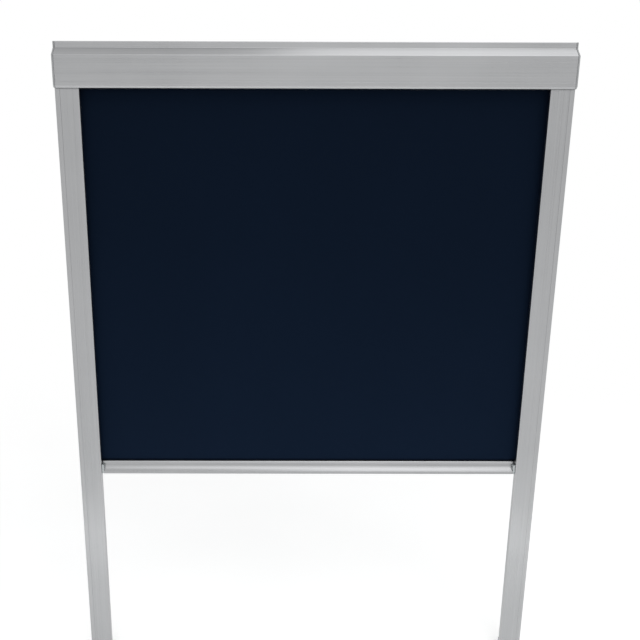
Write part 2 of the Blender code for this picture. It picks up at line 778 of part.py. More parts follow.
def guide_contour():
    """The moulded end's section: it closes the groove's end, and rises behind the flange."""
    shoulder = FLANGE_HEIGHT + SEAT_GAP
    riser = FLANGE_BACK + SEAT_GAP
    front = LIP_SETBACK + PLATE_SETBACK
    return [
        (BAR_DEPTH, 0),
        (riser, 0),
        (riser, shoulder),
        (front, shoulder),
        (front, LIP_BELOW_TOP + LIP_HEIGHT),
        (LIP_SETBACK + LIP_HEEL, BAR_HEIGHT),
        (BAR_DEPTH, BAR_HEIGHT),
    ]


def bar_pocket(gap):
    """The bar's rear pocket, which the guides plug into; shrunk by a gap it is their plug."""
    depths = (POCKET_FRONT + gap, BAR_DEPTH - POCKET_WALL - gap)
    drops = (POCKET_TOP + gap, BAR_HEIGHT - POCKET_WALL - gap)
    return at_bar(rectangle(depths, drops))


def spline_keyhole():
    """The slot from the bar's top down into the spline's bore."""
    half = SPLINE_SLOT / 2
    neck = math.asin(half / SPLINE_BORE)
    outline = [(FABRIC_SETBACK + half, -SLIDE_GAP), (FABRIC_SETBACK - half, -SLIDE_GAP)]
    for i in range(SMALL_SIDES + 1):
        turn = neck + (math.tau - 2 * neck) * i / SMALL_SIDES
        depth = FABRIC_SETBACK - SPLINE_BORE * math.sin(turn)
        outline.append((depth, SPLINE_DEPTH - SPLINE_BORE * math.cos(turn)))
    return at_bar(outline)


def make_bar():
    bar = prism("bar_profile", at_bar(bar_contour()), "X", (-FLANGE_HALF, FLANGE_HALF), SILVER)
    cut(bar, prism("keyhole", spline_keyhole(), "X", (-HALF, HALF)))
    cut(bar, prism("rear_pocket", bar_pocket(0), "X", (-HALF, HALF)))

    # only the flange reaches in behind the rails' lips; the rest of the section ends before them
    below = (
        (-SLIDE_GAP, FLANGE_HEIGHT),
        (FLANGE_BACK, FLANGE_HEIGHT),
        (FLANGE_BACK, -SLIDE_GAP),
        (BAR_DEPTH + SLIDE_GAP, -SLIDE_GAP),
        (BAR_DEPTH + SLIDE_GAP, BAR_HEIGHT + SLIDE_GAP),
        (-SLIDE_GAP, BAR_HEIGHT + SLIDE_GAP),
    )
    for name, side in SIDES.items():
        cut(bar, prism(f"bar_end_{name}", at_bar(below), "X", (side * BAR_HALF, side * HALF)))
    centre = at_bar([(FABRIC_SETBACK, SPLINE_DEPTH)])[0]
    rod("bar_spline", (-BAR_HALF, BAR_HALF), SPLINE_RADIUS, GREY_PLASTIC, centre, SMALL_SIDES)


def make_bar_guide(name, side):
    """The moulded bar end: a plate and plug on the bar, and a tab into the rail with its block."""
    ends = (side * PLATE_INNER, side * PLATE_OUTER)
    guide = prism(f"bar_guide_{name}", at_bar(guide_contour()), "X", ends, GREY_PLASTIC)
    root = side * PLATE_MIDDLE
    plug_ends = (side * (BAR_HALF - GUIDE_PLUG), root)
    join(guide, prism(f"guide_plug_{name}", bar_pocket(SEAT_GAP), "X", plug_ends))
    depths = around(FABRIC_SETBACK, TAB_THICKNESS / 2)
    tab = at_bar(rectangle(depths, (TAB_INSET, BAR_HEIGHT - TAB_INSET)))
    tab_ends = (root, side * (BLOCK_INNER + BLOCK_FLOOR / 2))
    join(guide, prism(f"guide_tab_{name}", tab, "X", tab_ends))
    wall = RAIL_WALL + SLIDE_GAP
    body = at_bar(rectangle((wall, RAIL_DEPTH - wall), (0, BAR_HEIGHT)))
    block_ends = (side * BLOCK_INNER, side * BLOCK_OUTER)
    join(guide, prism(f"guide_block_{name}", body, "X", block_ends))
    hole = pad_square(STEM_SIZE / 2 + SEAT_GAP)
    hole_ends = (side * (BLOCK_INNER + BLOCK_FLOOR), side * (BLOCK_OUTER + SLIDE_GAP))
    cut(guide, prism(f"pad_pocket_{name}", hole, "X", hole_ends))


def pad_square(half):
    return rectangle(around(PAD_Y, half), around(BAR_MIDDLE, half))


def make_brake_pad(name, side):
    """The pad that rubs on the channel's floor, its stem in the guide's block, and its spring."""
    height = BAR_HEIGHT / 2 - PAD_MARGIN
    depth = RAIL_DEPTH / 2 - RAIL_WALL - SLIDE_GAP - PAD_MARGIN
    outline = rectangle(around(PAD_Y, depth), around(BAR_MIDDLE, height))
    faces = (side * PAD_BACK, side * PAD_FACE)
    pad = prism(f"brake_pad_{name}", outline, "X", faces, BLACK_PILE)
    stem_end = PAD_BACK - STEM_LENGTH
    stem_ends = (side * stem_end, side * (PAD_BACK + PAD_THICKNESS / 2))
    join(pad, prism(f"pad_stem_{name}", pad_square(STEM_SIZE / 2), "X", stem_ends))
    floor = BLOCK_INNER + BLOCK_FLOOR + SEAT_GAP
    ends = (side * floor, side * (stem_end - PAD_TRAVEL - RUN_GAP))
    radius = STEM_SIZE / 2 - PAD_SPRING_WIRE
    coil(f"pad_spring_{name}", ends, radius, PAD_SPRING_WIRE, PAD_SPRING_TURNS, (PAD_Y, BAR_MIDDLE))


# Side rails


def make_rail_base(name, side):
    corners = [
        (BASE_LEG, BASE_DEPTH),
        (0, BASE_DEPTH),
        (0, 0),
        (BASE_NOSE, 0),
        (BASE_NOSE, BASE_HOOK),
    ]
    outline = at_rail(shell(corners, [SMALL_ROUND] * 3, RAIL_WALL), side)
    base = prism(f"rail_base_{name}", outline, "Z", (RAIL_BOTTOM, RAIL_TOP), SILVER)
    span = RAIL_TOP - RAIL_BOTTOM - 2 * RAIL_HOLE_INSET
    for i in range(RAIL_HOLES):
        z = RAIL_TOP - RAIL_HOLE_INSET - span * i / (RAIL_HOLES - 1)
        cut(base, through_hole(f"rail_hole_{name}_{i}", side, PAD_Y, z))


def make_side_channel(name, side):
    corners = [
        (RAIL_FACE - CHANNEL_BACK_SHORT, RAIL_DEPTH),
        (CHANNEL_OUTER, RAIL_DEPTH),
        (CHANNEL_OUTER, 0),
        (RAIL_FACE, 0),
        (RAIL_FACE, CHANNEL_LIP),
    ]
    outline = at_rail(shell(corners, [SMALL_ROUND, SMALL_ROUND, EDGE_ROUND], RAIL_WALL), side)
    prism(f"side_channel_{name}", outline, "Z", (RAIL_BOTTOM, RAIL_TOP), SILVER)


def make_seals(name, side):
    """Pile strips on the channel's two walls, with the fabric's edge between them."""
    reach = TAB_THICKNESS / 2 + SEAT_GAP
    wall = RAIL_WALL + SEAT_GAP
    rows = {
        "front": (wall, wall + SEAL_BASE_THICKNESS, FABRIC_SETBACK - reach),
        "rear": (RAIL_DEPTH - wall, RAIL_DEPTH - wall - SEAL_BASE_THICKNESS, FABRIC_SETBACK + reach),
    }
    base_low, base_high = around(SEAL_MIDDLE, SEAL_BASE / 2)
    pile_low, pile_high = around(SEAL_MIDDLE, SEAL_PILE / 2)
    for row, (root, shoulder, tip) in rows.items():
        outline = [
            (base_low, root),
            (base_high, root),
            (base_high, shoulder),
            (pile_high, shoulder),
            (pile_high, tip),
            (pile_low, tip),
            (pile_low, shoulder),
            (base_low, shoulder),
        ]
        ends = (RAIL_BOTTOM, RAIL_TOP)
        prism(f"{row}_seal_{name}", at_rail(outline, side), "Z", ends, BLACK_PILE)


def make_foot_cap(name, side):
    """The cap under a rail, with a stop for the bar's guide and a peg into the rail's base."""
    corners = rectangle((0, RAIL_FACE), (0, BASE_DEPTH))
    radii = [SMALL_ROUND, EDGE_ROUND, SMALL_ROUND, SMALL_ROUND]
    outline = at_rail(rounded(corners, radii, closed=True), side)
    foot = prism(f"foot_cap_{name}", outline, "Z", (-BLIND_HEIGHT, FOOT_TOP), SILVER_PLASTIC)
    low = FOOT_TOP - FOOT_THICKNESS / 2
    widths = (TRACK_FLOOR + SEAT_GAP, SEAL_MIDDLE - SEAL_BASE / 2 - SLIDE_GAP)
    depths = (RAIL_WALL + SEAT_GAP, RAIL_DEPTH - RAIL_WALL - SEAT_GAP)
    stop = at_rail(rectangle(widths, depths), side)
    join(foot, prism(f"foot_stop_{name}", stop, "Z", (low, FOOT_TOP + FOOT_STOP)))
    peg = at_rail(rectangle((PEG_OUTER, PEG_INNER), (PEG_FRONT, PEG_FRONT + TONGUE_DEPTH)), side)
    join(foot, prism(f"foot_peg_{name}", peg, "Z", (low, FOOT_TOP + FOOT_PEG)))


def mark_joints():
    """Empties on the axes of what moves: the roller, the pull bar and its two brake pads."""
    turning = ["roller_tube", "fabric_roll", "idle_plug", "bearing_plug", "drive_plug"]
    hang_on("roller_axis", (0, 0, AXIS_Z), turning)
    sliding = ["bar_profile", "bar_spline"]
    for name, side in SIDES.items():
        hang_on(f"brake_pad_{name}_axis", (side * PAD_FACE, PAD_Y, BAR_MIDDLE), [f"brake_pad_{name}"])
        sliding += [f"bar_guide_{name}", f"pad_spring_{name}", f"brake_pad_{name}_axis"]
    hang_on("pull_bar_axis", (0, FABRIC_Y, BAR_TOP), sliding)


def main():
    clear_scene()
    make_head_cover()
    make_head_back()
    make_roller_tube()
    make_fabric_roll()
    make_idle_end()
    make_sprung_end()
    make_fabric_sheet()
    make_bar()
    for name, side in SIDES.items():
        make_end_cap(name, side)
        make_cap_screws(name, side)
        make_clip_bracket(name, side)
        make_bar_guide(name, side)
        make_brake_pad(name, side)
        make_rail_base(name, side)
        make_side_channel(name, side)
        make_seals(name, side)
        make_foot_cap(name, side)
    mark_joints()


main()
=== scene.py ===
"""Looks for the blackout roller blind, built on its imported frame."""

import math
import random

import bmesh
import bpy
from mathutils import Matrix, Vector


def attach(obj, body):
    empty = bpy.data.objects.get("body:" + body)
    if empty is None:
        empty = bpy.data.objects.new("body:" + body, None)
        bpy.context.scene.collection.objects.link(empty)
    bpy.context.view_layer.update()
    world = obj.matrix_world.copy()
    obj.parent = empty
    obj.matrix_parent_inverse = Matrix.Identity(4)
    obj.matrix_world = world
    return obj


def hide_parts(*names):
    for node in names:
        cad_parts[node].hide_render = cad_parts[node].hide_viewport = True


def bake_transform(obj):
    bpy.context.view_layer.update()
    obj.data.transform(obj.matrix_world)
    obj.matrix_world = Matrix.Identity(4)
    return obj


# Sizes of the blind, as in the part's source, in metres
BLIND_WIDTH = 0.600
BLIND_HEIGHT = 0.800
BAR_DROP = 0.4657
SEAT_GAP = 0.0003
SLIDE_GAP = 0.0005
RUN_GAP = 0.0001

HEAD_HEIGHT = 0.0515
HEAD_WALL = 0.0012
HEAD_PROUD = 0.005
BROW_HEIGHT = 0.007
BROW_SETBACK = 0.008
SLOPE_HEIGHT = 0.0088
COVER_TOP_DEPTH = 0.006
BAND_HEIGHT = 0.0065
GROOVE_DEPTH = 0.0003
SLOT_WIDTH = 0.007
SLOT_LIP = 0.004
LEDGE_REACH = 0.004
LEDGE_THICKNESS = 0.001
BROW_ROUND = 0.0008
SLOPE_ROUND = 0.0015
CHIN_ROUND = 0.0002
BACK_ROUND = 0.0015
ROLL_CLEARANCE = 0.0012

PORT_SIZE = 0.0065
SCREW_RADIUS = 0.00145
SCREW_HEAD_RADIUS = 0.0026
SCREW_LENGTH = 0.014
RECESS_DEPTH = 0.0006
RECESS_WIDTH = 0.0006
RECESS_ARM = 0.0016

CAP_THICKNESS = 0.002
BOSS_RADIUS = 0.0085
BOSS_LENGTH = 0.008
TONGUE_LENGTH = 0.020
TONGUE_DEPTH = 0.012
AXLE_RADIUS = 0.0025
BUSH_WALL = 0.0015

CLIP_THICKNESS = 0.0015
CLIP_GRIP = 0.034
CLIP_PLATE = 0.016
CLIP_BEND = 0.002
TRACK_HEIGHT = 0.026
TRACK_LIP = 0.0035
FIXING_HOLE_RADIUS = 0.002

FABRIC_THICKNESS = 0.0004
FABRIC_EDGE = 0.009
FABRIC_TUCK = 0.003
FABRIC_RESERVE = 0.100
TUBE_RADIUS = 0.008
SHAFT_RADIUS = 0.003
SHAFT_REACH = 0.200
SHAFT_SQUARE = 0.005
ANCHOR_LENGTH = 0.008
PLUG_LENGTH = 0.020
TUBE_END = 0.003
SPRING_CLEARANCE = 0.0014
SPRING_WIRE = 0.0006
SPRING_TURNS = 30

BAR_HEIGHT = 0.0175
BAR_END_GAP = 0.0029
BAR_SETBACK = 0.0082
BAR_BACK_WALL = 0.0014
FLANGE_HEIGHT = 0.0026
FLANGE_RUN = 0.00115
FLANGE_WALL = 0.0020
FLANGE_REACH = 0.0012
FLANGE_ROUND = 0.0012
FINGER_TOP_RUN = 0.0005
FINGER_TOP_DROP = 0.0036
FINGER_LIP_RUN = 0.0026
FINGER_LIP_RISE = 0.0024
LIP_SETBACK = 0.0014
LIP_BELOW_TOP = 0.0112
LIP_HEIGHT = 0.0039
LIP_SHOULDER = 0.0005
LIP_LEAN = 0.0005
LIP_ROUND = 0.0002
LIP_HEEL = 0.0056
SPLINE_RADIUS = 0.0015
SPLINE_SLOT = 0.0012
SPLINE_DEPTH = 0.0049
POCKET_FRONT = 0.0072
POCKET_TOP = 0.0086
POCKET_WALL = 0.0013

GUIDE_PLUG = 0.014
PLATE_SETBACK = 0.0003
TAB_THICKNESS = 0.003
TAB_INSET = 0.0002
BLOCK_LENGTH = 0.0076
BLOCK_FLOOR = 0.0010
PAD_THICKNESS = 0.0018
PAD_MARGIN = 0.0020
PAD_TRAVEL = 0.0006
STEM_SIZE = 0.005
STEM_LENGTH = 0.0035
PAD_SPRING_WIRE = 0.00025
PAD_SPRING_TURNS = 3

RAIL_FACE = 0.028
RAIL_WALL = 0.0012
RAIL_DEPTH = 0.0218
BASE_NOSE = 0.0055
BASE_HOOK = 0.004
BASE_LEG = 0.009
CHANNEL_LIP = 0.005
EDGE_ROUND = 0.0015
SMALL_ROUND = 0.0005
RAIL_HOLES = 3
RAIL_HOLE_INSET = 0.080

SEAL_BASE = 0.0034
SEAL_BASE_THICKNESS = 0.0012
SEAL_PILE = 0.0018

FOOT_THICKNESS = 0.003
FOOT_STOP = 0.004
FOOT_PEG = 0.012

# Sizes that match the photograph more closely than the solids do
CHIN_RISE = 0.0022
CHIN_RUN = 0.0019
PLATE_SEAM = 0.0001
PLATE_PLAY = 0.0003
RISER_DROP = 0.0011
HEM_DROP = 0.0008
CHANNEL_BACK_SHORT = 0.0069
SEAL_INSET = 0.0069
SEAM_FILL = 0.00022
TOP_SEAM = 0.00005
SEAM_ROUND = 0.00015

# Detail that the solids leave out
SCREW_RIM = 0.0001
SCREW_TURNS = 11
THREAD_START = 0.3
THREAD_DEPTH = 0.0003
RECESS_EASE = 0.00015
ROLLED_SHARE = 0.9
RIPPLE_HEIGHT = 0.00018
RIPPLE_HOLD = 0.7
TUFT_PITCH = 0.0009
TUFT_RADIUS = 0.00048
TUFT_LEAN = 0.00016
TUFT_TAPER = 0.7
TUFT_SHORT = 0.12
TUFT_SIDES = 3
PAD_ROUND = 0.0008
MOULD_EASE = 0.0004
PAD_EASE = 0.0003
GUIDE_EASE = 0.00025
PLATE_EASE = 0.0002
# the ripples' (across, shift, down) and (across, down, share)
BROAD_RIPPLE = (21, 1.3, 9)
FINE_RIPPLE = (47, 15, 0.5)
# a spring of more turns than this has closed end turns, so many wire thicknesses apart
LONG_COIL = 6
COIL_PITCH = 1.08

# Heights and depths that follow from them
AXIS_Z = -HEAD_HEIGHT / 2
BAR_TOP = -HEAD_HEIGHT - BAR_DROP
BAR_MIDDLE = BAR_TOP - BAR_HEIGHT / 2
RAIL_TOP = -HEAD_HEIGHT - TOP_SEAM
FOOT_TOP = -BLIND_HEIGHT + FOOT_THICKNESS
RAIL_BOTTOM = FOOT_TOP + SEAT_GAP
LOWEST_BAR_TOP = FOOT_TOP + FOOT_STOP + SLIDE_GAP + BAR_HEIGHT
FABRIC_LENGTH = AXIS_Z - LOWEST_BAR_TOP + FABRIC_RESERVE
WOUND_LENGTH = FABRIC_LENGTH - (AXIS_Z - BAR_TOP)
SPLINE_BORE = SPLINE_RADIUS + SEAT_GAP
FLANGE_BACK = BAR_SETBACK + FLANGE_WALL
FABRIC_SETBACK = FLANGE_BACK + SPLINE_BORE
BAR_DEPTH = FABRIC_SETBACK + SPLINE_BORE + BAR_BACK_WALL
BASE_DEPTH = RAIL_DEPTH + SEAT_GAP + RAIL_WALL
PEG_FRONT = BASE_HOOK + SLIDE_GAP


def roll_radius(wound):
    """Radius of the cloth wound on the tube, for the length that is on it."""
    core = TUBE_RADIUS + SEAT_GAP
    return math.sqrt(core**2 + wound * FABRIC_THICKNESS / math.pi)


ROLL_RADIUS = roll_radius(WOUND_LENGTH)
FABRIC_Y = -(ROLL_RADIUS + SEAT_GAP + FABRIC_THICKNESS / 2)
BACK_Y = roll_radius(FABRIC_LENGTH) + ROLL_CLEARANCE + HEAD_WALL
RAIL_Y = FABRIC_Y - FABRIC_SETBACK
HEAD_Y = RAIL_Y - HEAD_PROUD
BROW_Y = HEAD_Y + BROW_SETBACK
SEAM_Y = BROW_Y + COVER_TOP_DEPTH
SLOT_FRONT = FABRIC_Y - SLOT_WIDTH / 2
SLOT_BACK = FABRIC_Y + SLOT_WIDTH / 2
PAD_Y = RAIL_Y + RAIL_DEPTH / 2

# Distances in from the blind's outer sides, and places across it from its middle
PEG_OUTER = RAIL_WALL + SEAT_GAP
PEG_INNER = BASE_NOSE - SEAT_GAP
CHANNEL_OUTER = BASE_NOSE + SEAT_GAP
TRACK_FLOOR = CHANNEL_OUTER + RAIL_WALL
SEAL_MIDDLE = RAIL_FACE - SEAL_INSET - SEAL_BASE / 2
HALF = BLIND_WIDTH / 2
HEAD_HALF = HALF - CAP_THICKNESS - SEAT_GAP
LIP_X = HALF - RAIL_FACE
FABRIC_HALF = LIP_X + FABRIC_EDGE
BAR_HALF = LIP_X - BAR_END_GAP
FLANGE_HALF = LIP_X + FLANGE_REACH
BOSS_FACE = HALF - CAP_THICKNESS - BOSS_LENGTH
PLATE_INNER = BAR_HALF + PLATE_SEAM
PLATE_OUTER = LIP_X - PLATE_PLAY
PAD_FACE = HALF - TRACK_FLOOR - SEAT_GAP
PAD_BACK = PAD_FACE - PAD_THICKNESS
BLOCK_OUTER = PAD_BACK - PAD_TRAVEL - 2 * RUN_GAP
BLOCK_INNER = BLOCK_OUTER - BLOCK_LENGTH
PORT_Y = BACK_Y - HEAD_WALL - PORT_SIZE / 2
PORT_DEPTH = HEAD_WALL + PORT_SIZE / 2
PORT_HEIGHTS = {"upper": -PORT_DEPTH, "lower": -HEAD_HEIGHT + PORT_DEPTH}
ROLLER_CENTRE = (0, AXIS_Z)
SIDES = {"left": -1, "right": 1}

# How finely the forms are made
CORNER_STEPS = 10
EASE_STEPS = 3
EASE_TURN = math.radians(25)
SHARP_ANGLE = math.radians(35)
STRAIGHT_ANGLE = 1e-4
ROUND_SHARE = 0.49
MERGE_DISTANCE = 1e-6
# a sharp corner is eased by more than a cut end, whose smaller outline would fold otherwise
CUT_EASE = 0.00012
CORNER_EASE = 0.00018
GRIP_STEPS = 40
ROUND_SIDES = 96
SMALL_SIDES = 48
ROLL_STEPS = 72
COIL_STEPS = 28
WIRE_STEPS = 3
SHEET_COLUMNS = 84
SHEET_ROWS = 96
TUCK_ROWS = 2
BEVEL_STEPS = 2


# Shapes


def rectangle(a, b):
    return [(a[0], b[0]), (a[1], b[0]), (a[1], b[1]), (a[0], b[1])]


def around(middle, half):
    return middle - half, middle + half


def steps_between(start, end, count):
    return [start + (end - start) * i / count for i in range(count + 1)]


def arc_corner(before, corner, after, radius, steps):
    """The points that round one corner, with the radius held to what its two sides can take."""
    a = (before - corner).normalized()
    b = (after - corner).normalized()
    half_angle = a.angle(b) / 2
    if radius <= 0 or math.pi / 2 - half_angle < STRAIGHT_ANGLE:
        return [corner]
    room = ROUND_SHARE * min((before - corner).length, (after - corner).length)
    reach = min(radius / math.tan(half_angle), room)
    radius = reach * math.tan(half_angle)
    centre = corner + (a + b).normalized() * (radius / math.sin(half_angle))
    start = corner + a * reach - centre
    sweep = -start.angle_signed(corner + b * reach - centre)
    turns = [Matrix.Rotation(sweep * i / steps, 2) for i in range(steps + 1)]
    return [centre + turn @ start for turn in turns]


def rounded(corners, radii, closed=False):
    """An outline with its corners rounded; an open one keeps its two end points sharp."""
    corners = [Vector(c) for c in corners]
    count = len(corners)
    points = []
    for i, corner in enumerate(corners):
        if not closed and i in (0, count - 1):
            points.append(corner)
        else:
            radius = radii[i if closed else i - 1]
            after = corners[(i + 1) % count]
            points += arc_corner(corners[i - 1], corner, after, radius, CORNER_STEPS)
    return points


def shell(corners, radii, wall):
    """The closed outline of a bent wall, which lies to the left of its corners in their order."""
    corners = [Vector(c) for c in corners]
    normals = []
    for a, b in zip(corners, corners[1:]):
        along = (b - a).normalized()
        normals.append(Vector((-along.y, along.x)))
    inner = [corners[0] + normals[0] * wall]
    inner_radii = []
    for i in range(1, len(corners) - 1):
        before, after = normals[i - 1], normals[i]
        inner.append(corners[i] + (before + after) * wall / (1 + before.dot(after)))
        left_turn = before.x * after.y - before.y * after.x > 0
        inner_radii.append(max(radii[i - 1] - wall, 0) if left_turn else radii[i - 1] + wall)
    inner.append(corners[-1] + normals[-1] * wall)
    return rounded(corners, radii) + list(reversed(rounded(inner, inner_radii)))


def eased(outline, radius=CORNER_EASE):
    """A closed outline whose sharp corners are broken by a small radius."""
    points = [Vector(p) for p in outline]
    count = len(points)
    made = []
    for i, point in enumerate(points):
        before, after = points[i - 1], points[(i + 1) % count]
        if (point - before).angle(after - point, 0) > EASE_TURN:
            made += arc_corner(before, point, after, radius, EASE_STEPS)
        else:
            made.append(point)
    return made


def inset(outline, amount):
    """A closed outline moved inwards by an amount."""
    count = len(outline)
    area = sum(a.x * b.y - b.x * a.y for a, b in zip(outline, outline[1:] + outline[:1]))
    turn = math.copysign(amount, area)
    made = []
    for i, point in enumerate(outline):
        a = (point - outline[i - 1]).normalized()
        b = (outline[(i + 1) % count] - point).normalized()
        out = Vector((-a.y - b.y, a.x + b.x))
        made.append(point + out * turn / (1 + a.dot(b)))
    return made


def placed(axis, point, along):
    return (along, *point) if axis == "X" else (*point, along)


def mesh_object(name, bm):
    bmesh.ops.recalc_face_normals(bm, faces=bm.faces)
    mesh = bpy.data.meshes.new(name)
    bm.to_mesh(mesh)
    bm.free()
    obj = bpy.data.objects.new(name, mesh)
    bpy.context.scene.collection.objects.link(obj)
    return obj


def extrusion(name, outline, axis, ends, ease=CUT_EASE):
    """A closed outline pushed along X or Z, with the edges of its two cut ends broken."""
    outline = [Vector(p) for p in outline]
    low, high = sorted(ends)
    stations = [(low, outline), (high, outline)]
    if ease:
        small = inset(outline, ease)
        stations = [(low, small), (low + ease, outline), (high - ease, outline), (high, small)]
    bm = bmesh.new()
    rings = [[bm.verts.new(placed(axis, p, at)) for p in ring] for at, ring in stations]
    count = len(outline)
    for a, b in zip(rings, rings[1:]):
        for i in range(count):
            j = (i + 1) % count
            bm.faces.new((a[i], a[j], b[j], b[i]))
    bm.faces.new(rings[0])
    bm.faces.new(rings[-1])
    return mesh_object(name, bm)


def turned(name, profile, centre, sides=ROUND_SIDES):
    """A profile of (x, radius) points turned about a line along X through centre (y, z)."""
    bm = bmesh.new()
    verts = [bm.verts.new((x, centre[0], centre[1] + radius)) for x, radius in profile]
    edges = [bm.edges.new(pair) for pair in zip(verts, verts[1:])]
    turn = {"cent": (0, *centre), "axis": (1, 0, 0), "angle": math.tau, "steps": sides}
    bmesh.ops.spin(bm, geom=verts + edges, use_merge=True, **turn)
    bmesh.ops.remove_doubles(bm, verts=bm.verts, dist=MERGE_DISTANCE)
    middle = Vector(centre)
    poles = [v for v in bm.verts if (v.co.yz - middle).length < MERGE_DISTANCE]
    bmesh.ops.dissolve_verts(bm, verts=poles)
    return mesh_object(name, bm)


def rod(name, ends, radius, centre=ROLLER_CENTRE, sides=ROUND_SIDES):
    low, high = ends
    profile = [(low, 0), (low, radius), (high, radius), (high, 0)]
    return turned(name, profile, centre, sides)


def settle(obj):
    """Bakes a piece's modifiers into its mesh."""
    seen = obj.evaluated_get(bpy.context.evaluated_depsgraph_get())
    mesh = bpy.data.meshes.new_from_object(seen)
    obj.modifiers.clear()
    obj.data = mesh


def combine(obj, tool, operation):
    change = obj.modifiers.new(tool.name, "BOOLEAN")
    change.operation = operation
    change.solver = "EXACT"
    change.object = tool
    settle(obj)
    bpy.data.objects.remove(tool)


def join(obj, tool):
    combine(obj, tool, "UNION")


def cut(obj, tool):
    combine(obj, tool, "DIFFERENCE")


def soften(obj, width):
    """Rounds a moulded piece's sharp edges."""
    change = obj.modifiers.new("soften", "BEVEL")
    change.width = width
    change.segments = BEVEL_STEPS
    change.limit_method = "ANGLE"
    change.angle_limit = SHARP_ANGLE
    settle(obj)


def dress(obj, material, slot, body, *nodes):
    """Gives a finished piece its shading, its material and its body, and hides the nodes it
    stands for.
    """
    if obj.type == "MESH":
        obj.data.shade_smooth()
        obj.data.set_sharp_from_angle(angle=SHARP_ANGLE)
        even = obj.modifiers.new("even_shading", "WEIGHTED_NORMAL")
        even.keep_sharp = True
    obj.data.materials.clear()
    obj.data.materials.append(material)
    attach(obj, body)
    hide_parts(*nodes)


# Materials


def node(tree, kind, inputs=(), **settings):
    """A new node with its settings, and its inputs from values or from other nodes' outputs."""
    made = tree.nodes.new(f"ShaderNode{kind}")
    for key, value in settings.items():
        setattr(made, key, value)
    for key, value in dict(inputs).items():
        if isinstance(value, bpy.types.NodeSocket):
            tree.links.new(value, made.inputs[key])
        else:
            made.inputs[key].default_value = value
    return made


def blank(name, **constants):
    """A material with its tree, its shader and the object's own coordinates."""
    made = bpy.data.materials.new(name)
    made.use_nodes = True
    tree = made.node_tree
    shader = tree.nodes["Principled BSDF"]
    for key, value in constants.items():
        shader.inputs[key.replace("_", " ")].default_value = value
    return made, tree, shader, node(tree, "TexCoord").outputs["Object"]


def noise(tree, coordinate, scale, detail=3.0, roughness=0.5):
    """A noise's value; scale is one number, or one for each axis."""
    if not isinstance(scale, (int, float)):
        coordinate = node(tree, "Mapping", {"Vector": coordinate, "Scale": scale}).outputs[0]
        scale = 1.0
    inputs = {"Vector": coordinate, "Scale": scale, "Detail": detail, "Roughness": roughness}
    return node(tree, "TexNoise", inputs).outputs[0]


def spread(tree, value, low, high, start=0.3, end=0.7):
    """A noise's middle range spread over two limits."""
    inputs = {0: value, 1: start, 2: end, 3: low, 4: high}
    return node(tree, "MapRange", inputs).outputs[0]


def tint(tree, value, colours, start=0.3, end=0.7):
    """A colour between two, by a value."""
    first, second = colours
    made = node(tree, "ValToRGB", {0: value})
    ramp = made.color_ramp.elements
    ramp[0].position, ramp[1].position = start, end
    ramp[0].color, ramp[1].color = (*first, 1), (*second, 1)
    return made.outputs[0]


def maths(tree, operation, *values):
    return node(tree, "Math", dict(enumerate(values)), operation=operation).outputs[0]


def sums(tree, *terms):
    """The sum of several values, each with its own weight."""
    total = None
    for value, weight in terms:
        scaled = maths(tree, "MULTIPLY", value, weight)
        total = maths(tree, "ADD", total, scaled) if total else scaled
    return total


def coat(tree, shader, colour, roughness, height, distance, strength=1.0):
    """Gives a shader its colour, its roughness and a relief."""
    inputs = {"Height": height, "Distance": distance, "Strength": strength}
    relief = node(tree, "Bump", inputs).outputs[0]
    links = {"Base Color": colour, "Roughness": roughness, "Normal": relief}
    for key, value in links.items():
        tree.links.new(value, shader.inputs[key])


# The darkest and lightest tone of each finish
SILVER = (0.385, 0.390, 0.398), (0.455, 0.460, 0.468)
CAP_GREY = (0.36, 0.365, 0.37), (0.42, 0.425, 0.43)
GUIDE_GREY = (0.31, 0.33, 0.335), (0.37, 0.39, 0.395)
MILKY_WHITE = (0.74, 0.735, 0.71), (0.82, 0.815, 0.79)
NAVY = (0.0027, 0.0067, 0.0157), (0.0042, 0.0092, 0.0210)
PILE_BLACK = (0.008, 0.008, 0.009), (0.022, 0.022, 0.024)
FELT_BLACK = (0.008, 0.008, 0.009), (0.024, 0.023, 0.023)
ZINC = (0.40, 0.41, 0.40), (0.56, 0.55, 0.50)
OILED_STEEL = (0.20, 0.20, 0.21), (0.36, 0.36, 0.37)
FLOOR_PALE = (0.70, 0.70, 0.695), (0.74, 0.74, 0.735)

CLOTH_GLOSS = 0.04
THREAD = 0.00042


def anodised(name, along):
    """Satin anodised aluminium with the fine lines that the die leaves along a profile."""
    made, tree, shader, where = blank(name, Metallic=1.0)

    def lines(run, across):
        return [run if axis == along else across for axis in "XYZ"]

    fine = noise(tree, where, lines(4, 2600), 2)
    broad = noise(tree, where, lines(1.5, 420), 3)
    cloud = noise(tree, where, 9, 4)
    grain = noise(tree, where, 5200, 2)
    mixed = sums(tree, (fine, 0.35), (broad, 0.30), (cloud, 0.35))
    colour = tint(tree, mixed, SILVER, 0.35, 0.65)
    rough = sums(tree, (fine, 0.3), (broad, 0.2), (cloud, 0.3), (grain, 0.2))
    roughness = spread(tree, rough, 0.25, 0.36, 0.35, 0.65)
    height = sums(tree, (fine, 0.5), (broad, 0.25), (grain, 0.25))
    coat(tree, shader, colour, roughness, height, 0.000012)
    return made


def moulded(name, colours, roughness, grain_size, depth):
    """Moulded plastic: an even colour with slow clouds in it, over a fine spark-eroded grain."""
    made, tree, shader, where = blank(name)
    cloud = noise(tree, where, 60, 4)
    grain = noise(tree, where, 1 / grain_size, 3, 0.6)
    rough = spread(tree, sums(tree, (cloud, 0.4), (grain, 0.6)), *roughness)
    coat(tree, shader, tint(tree, cloud, colours), rough, grain, depth)
    return made


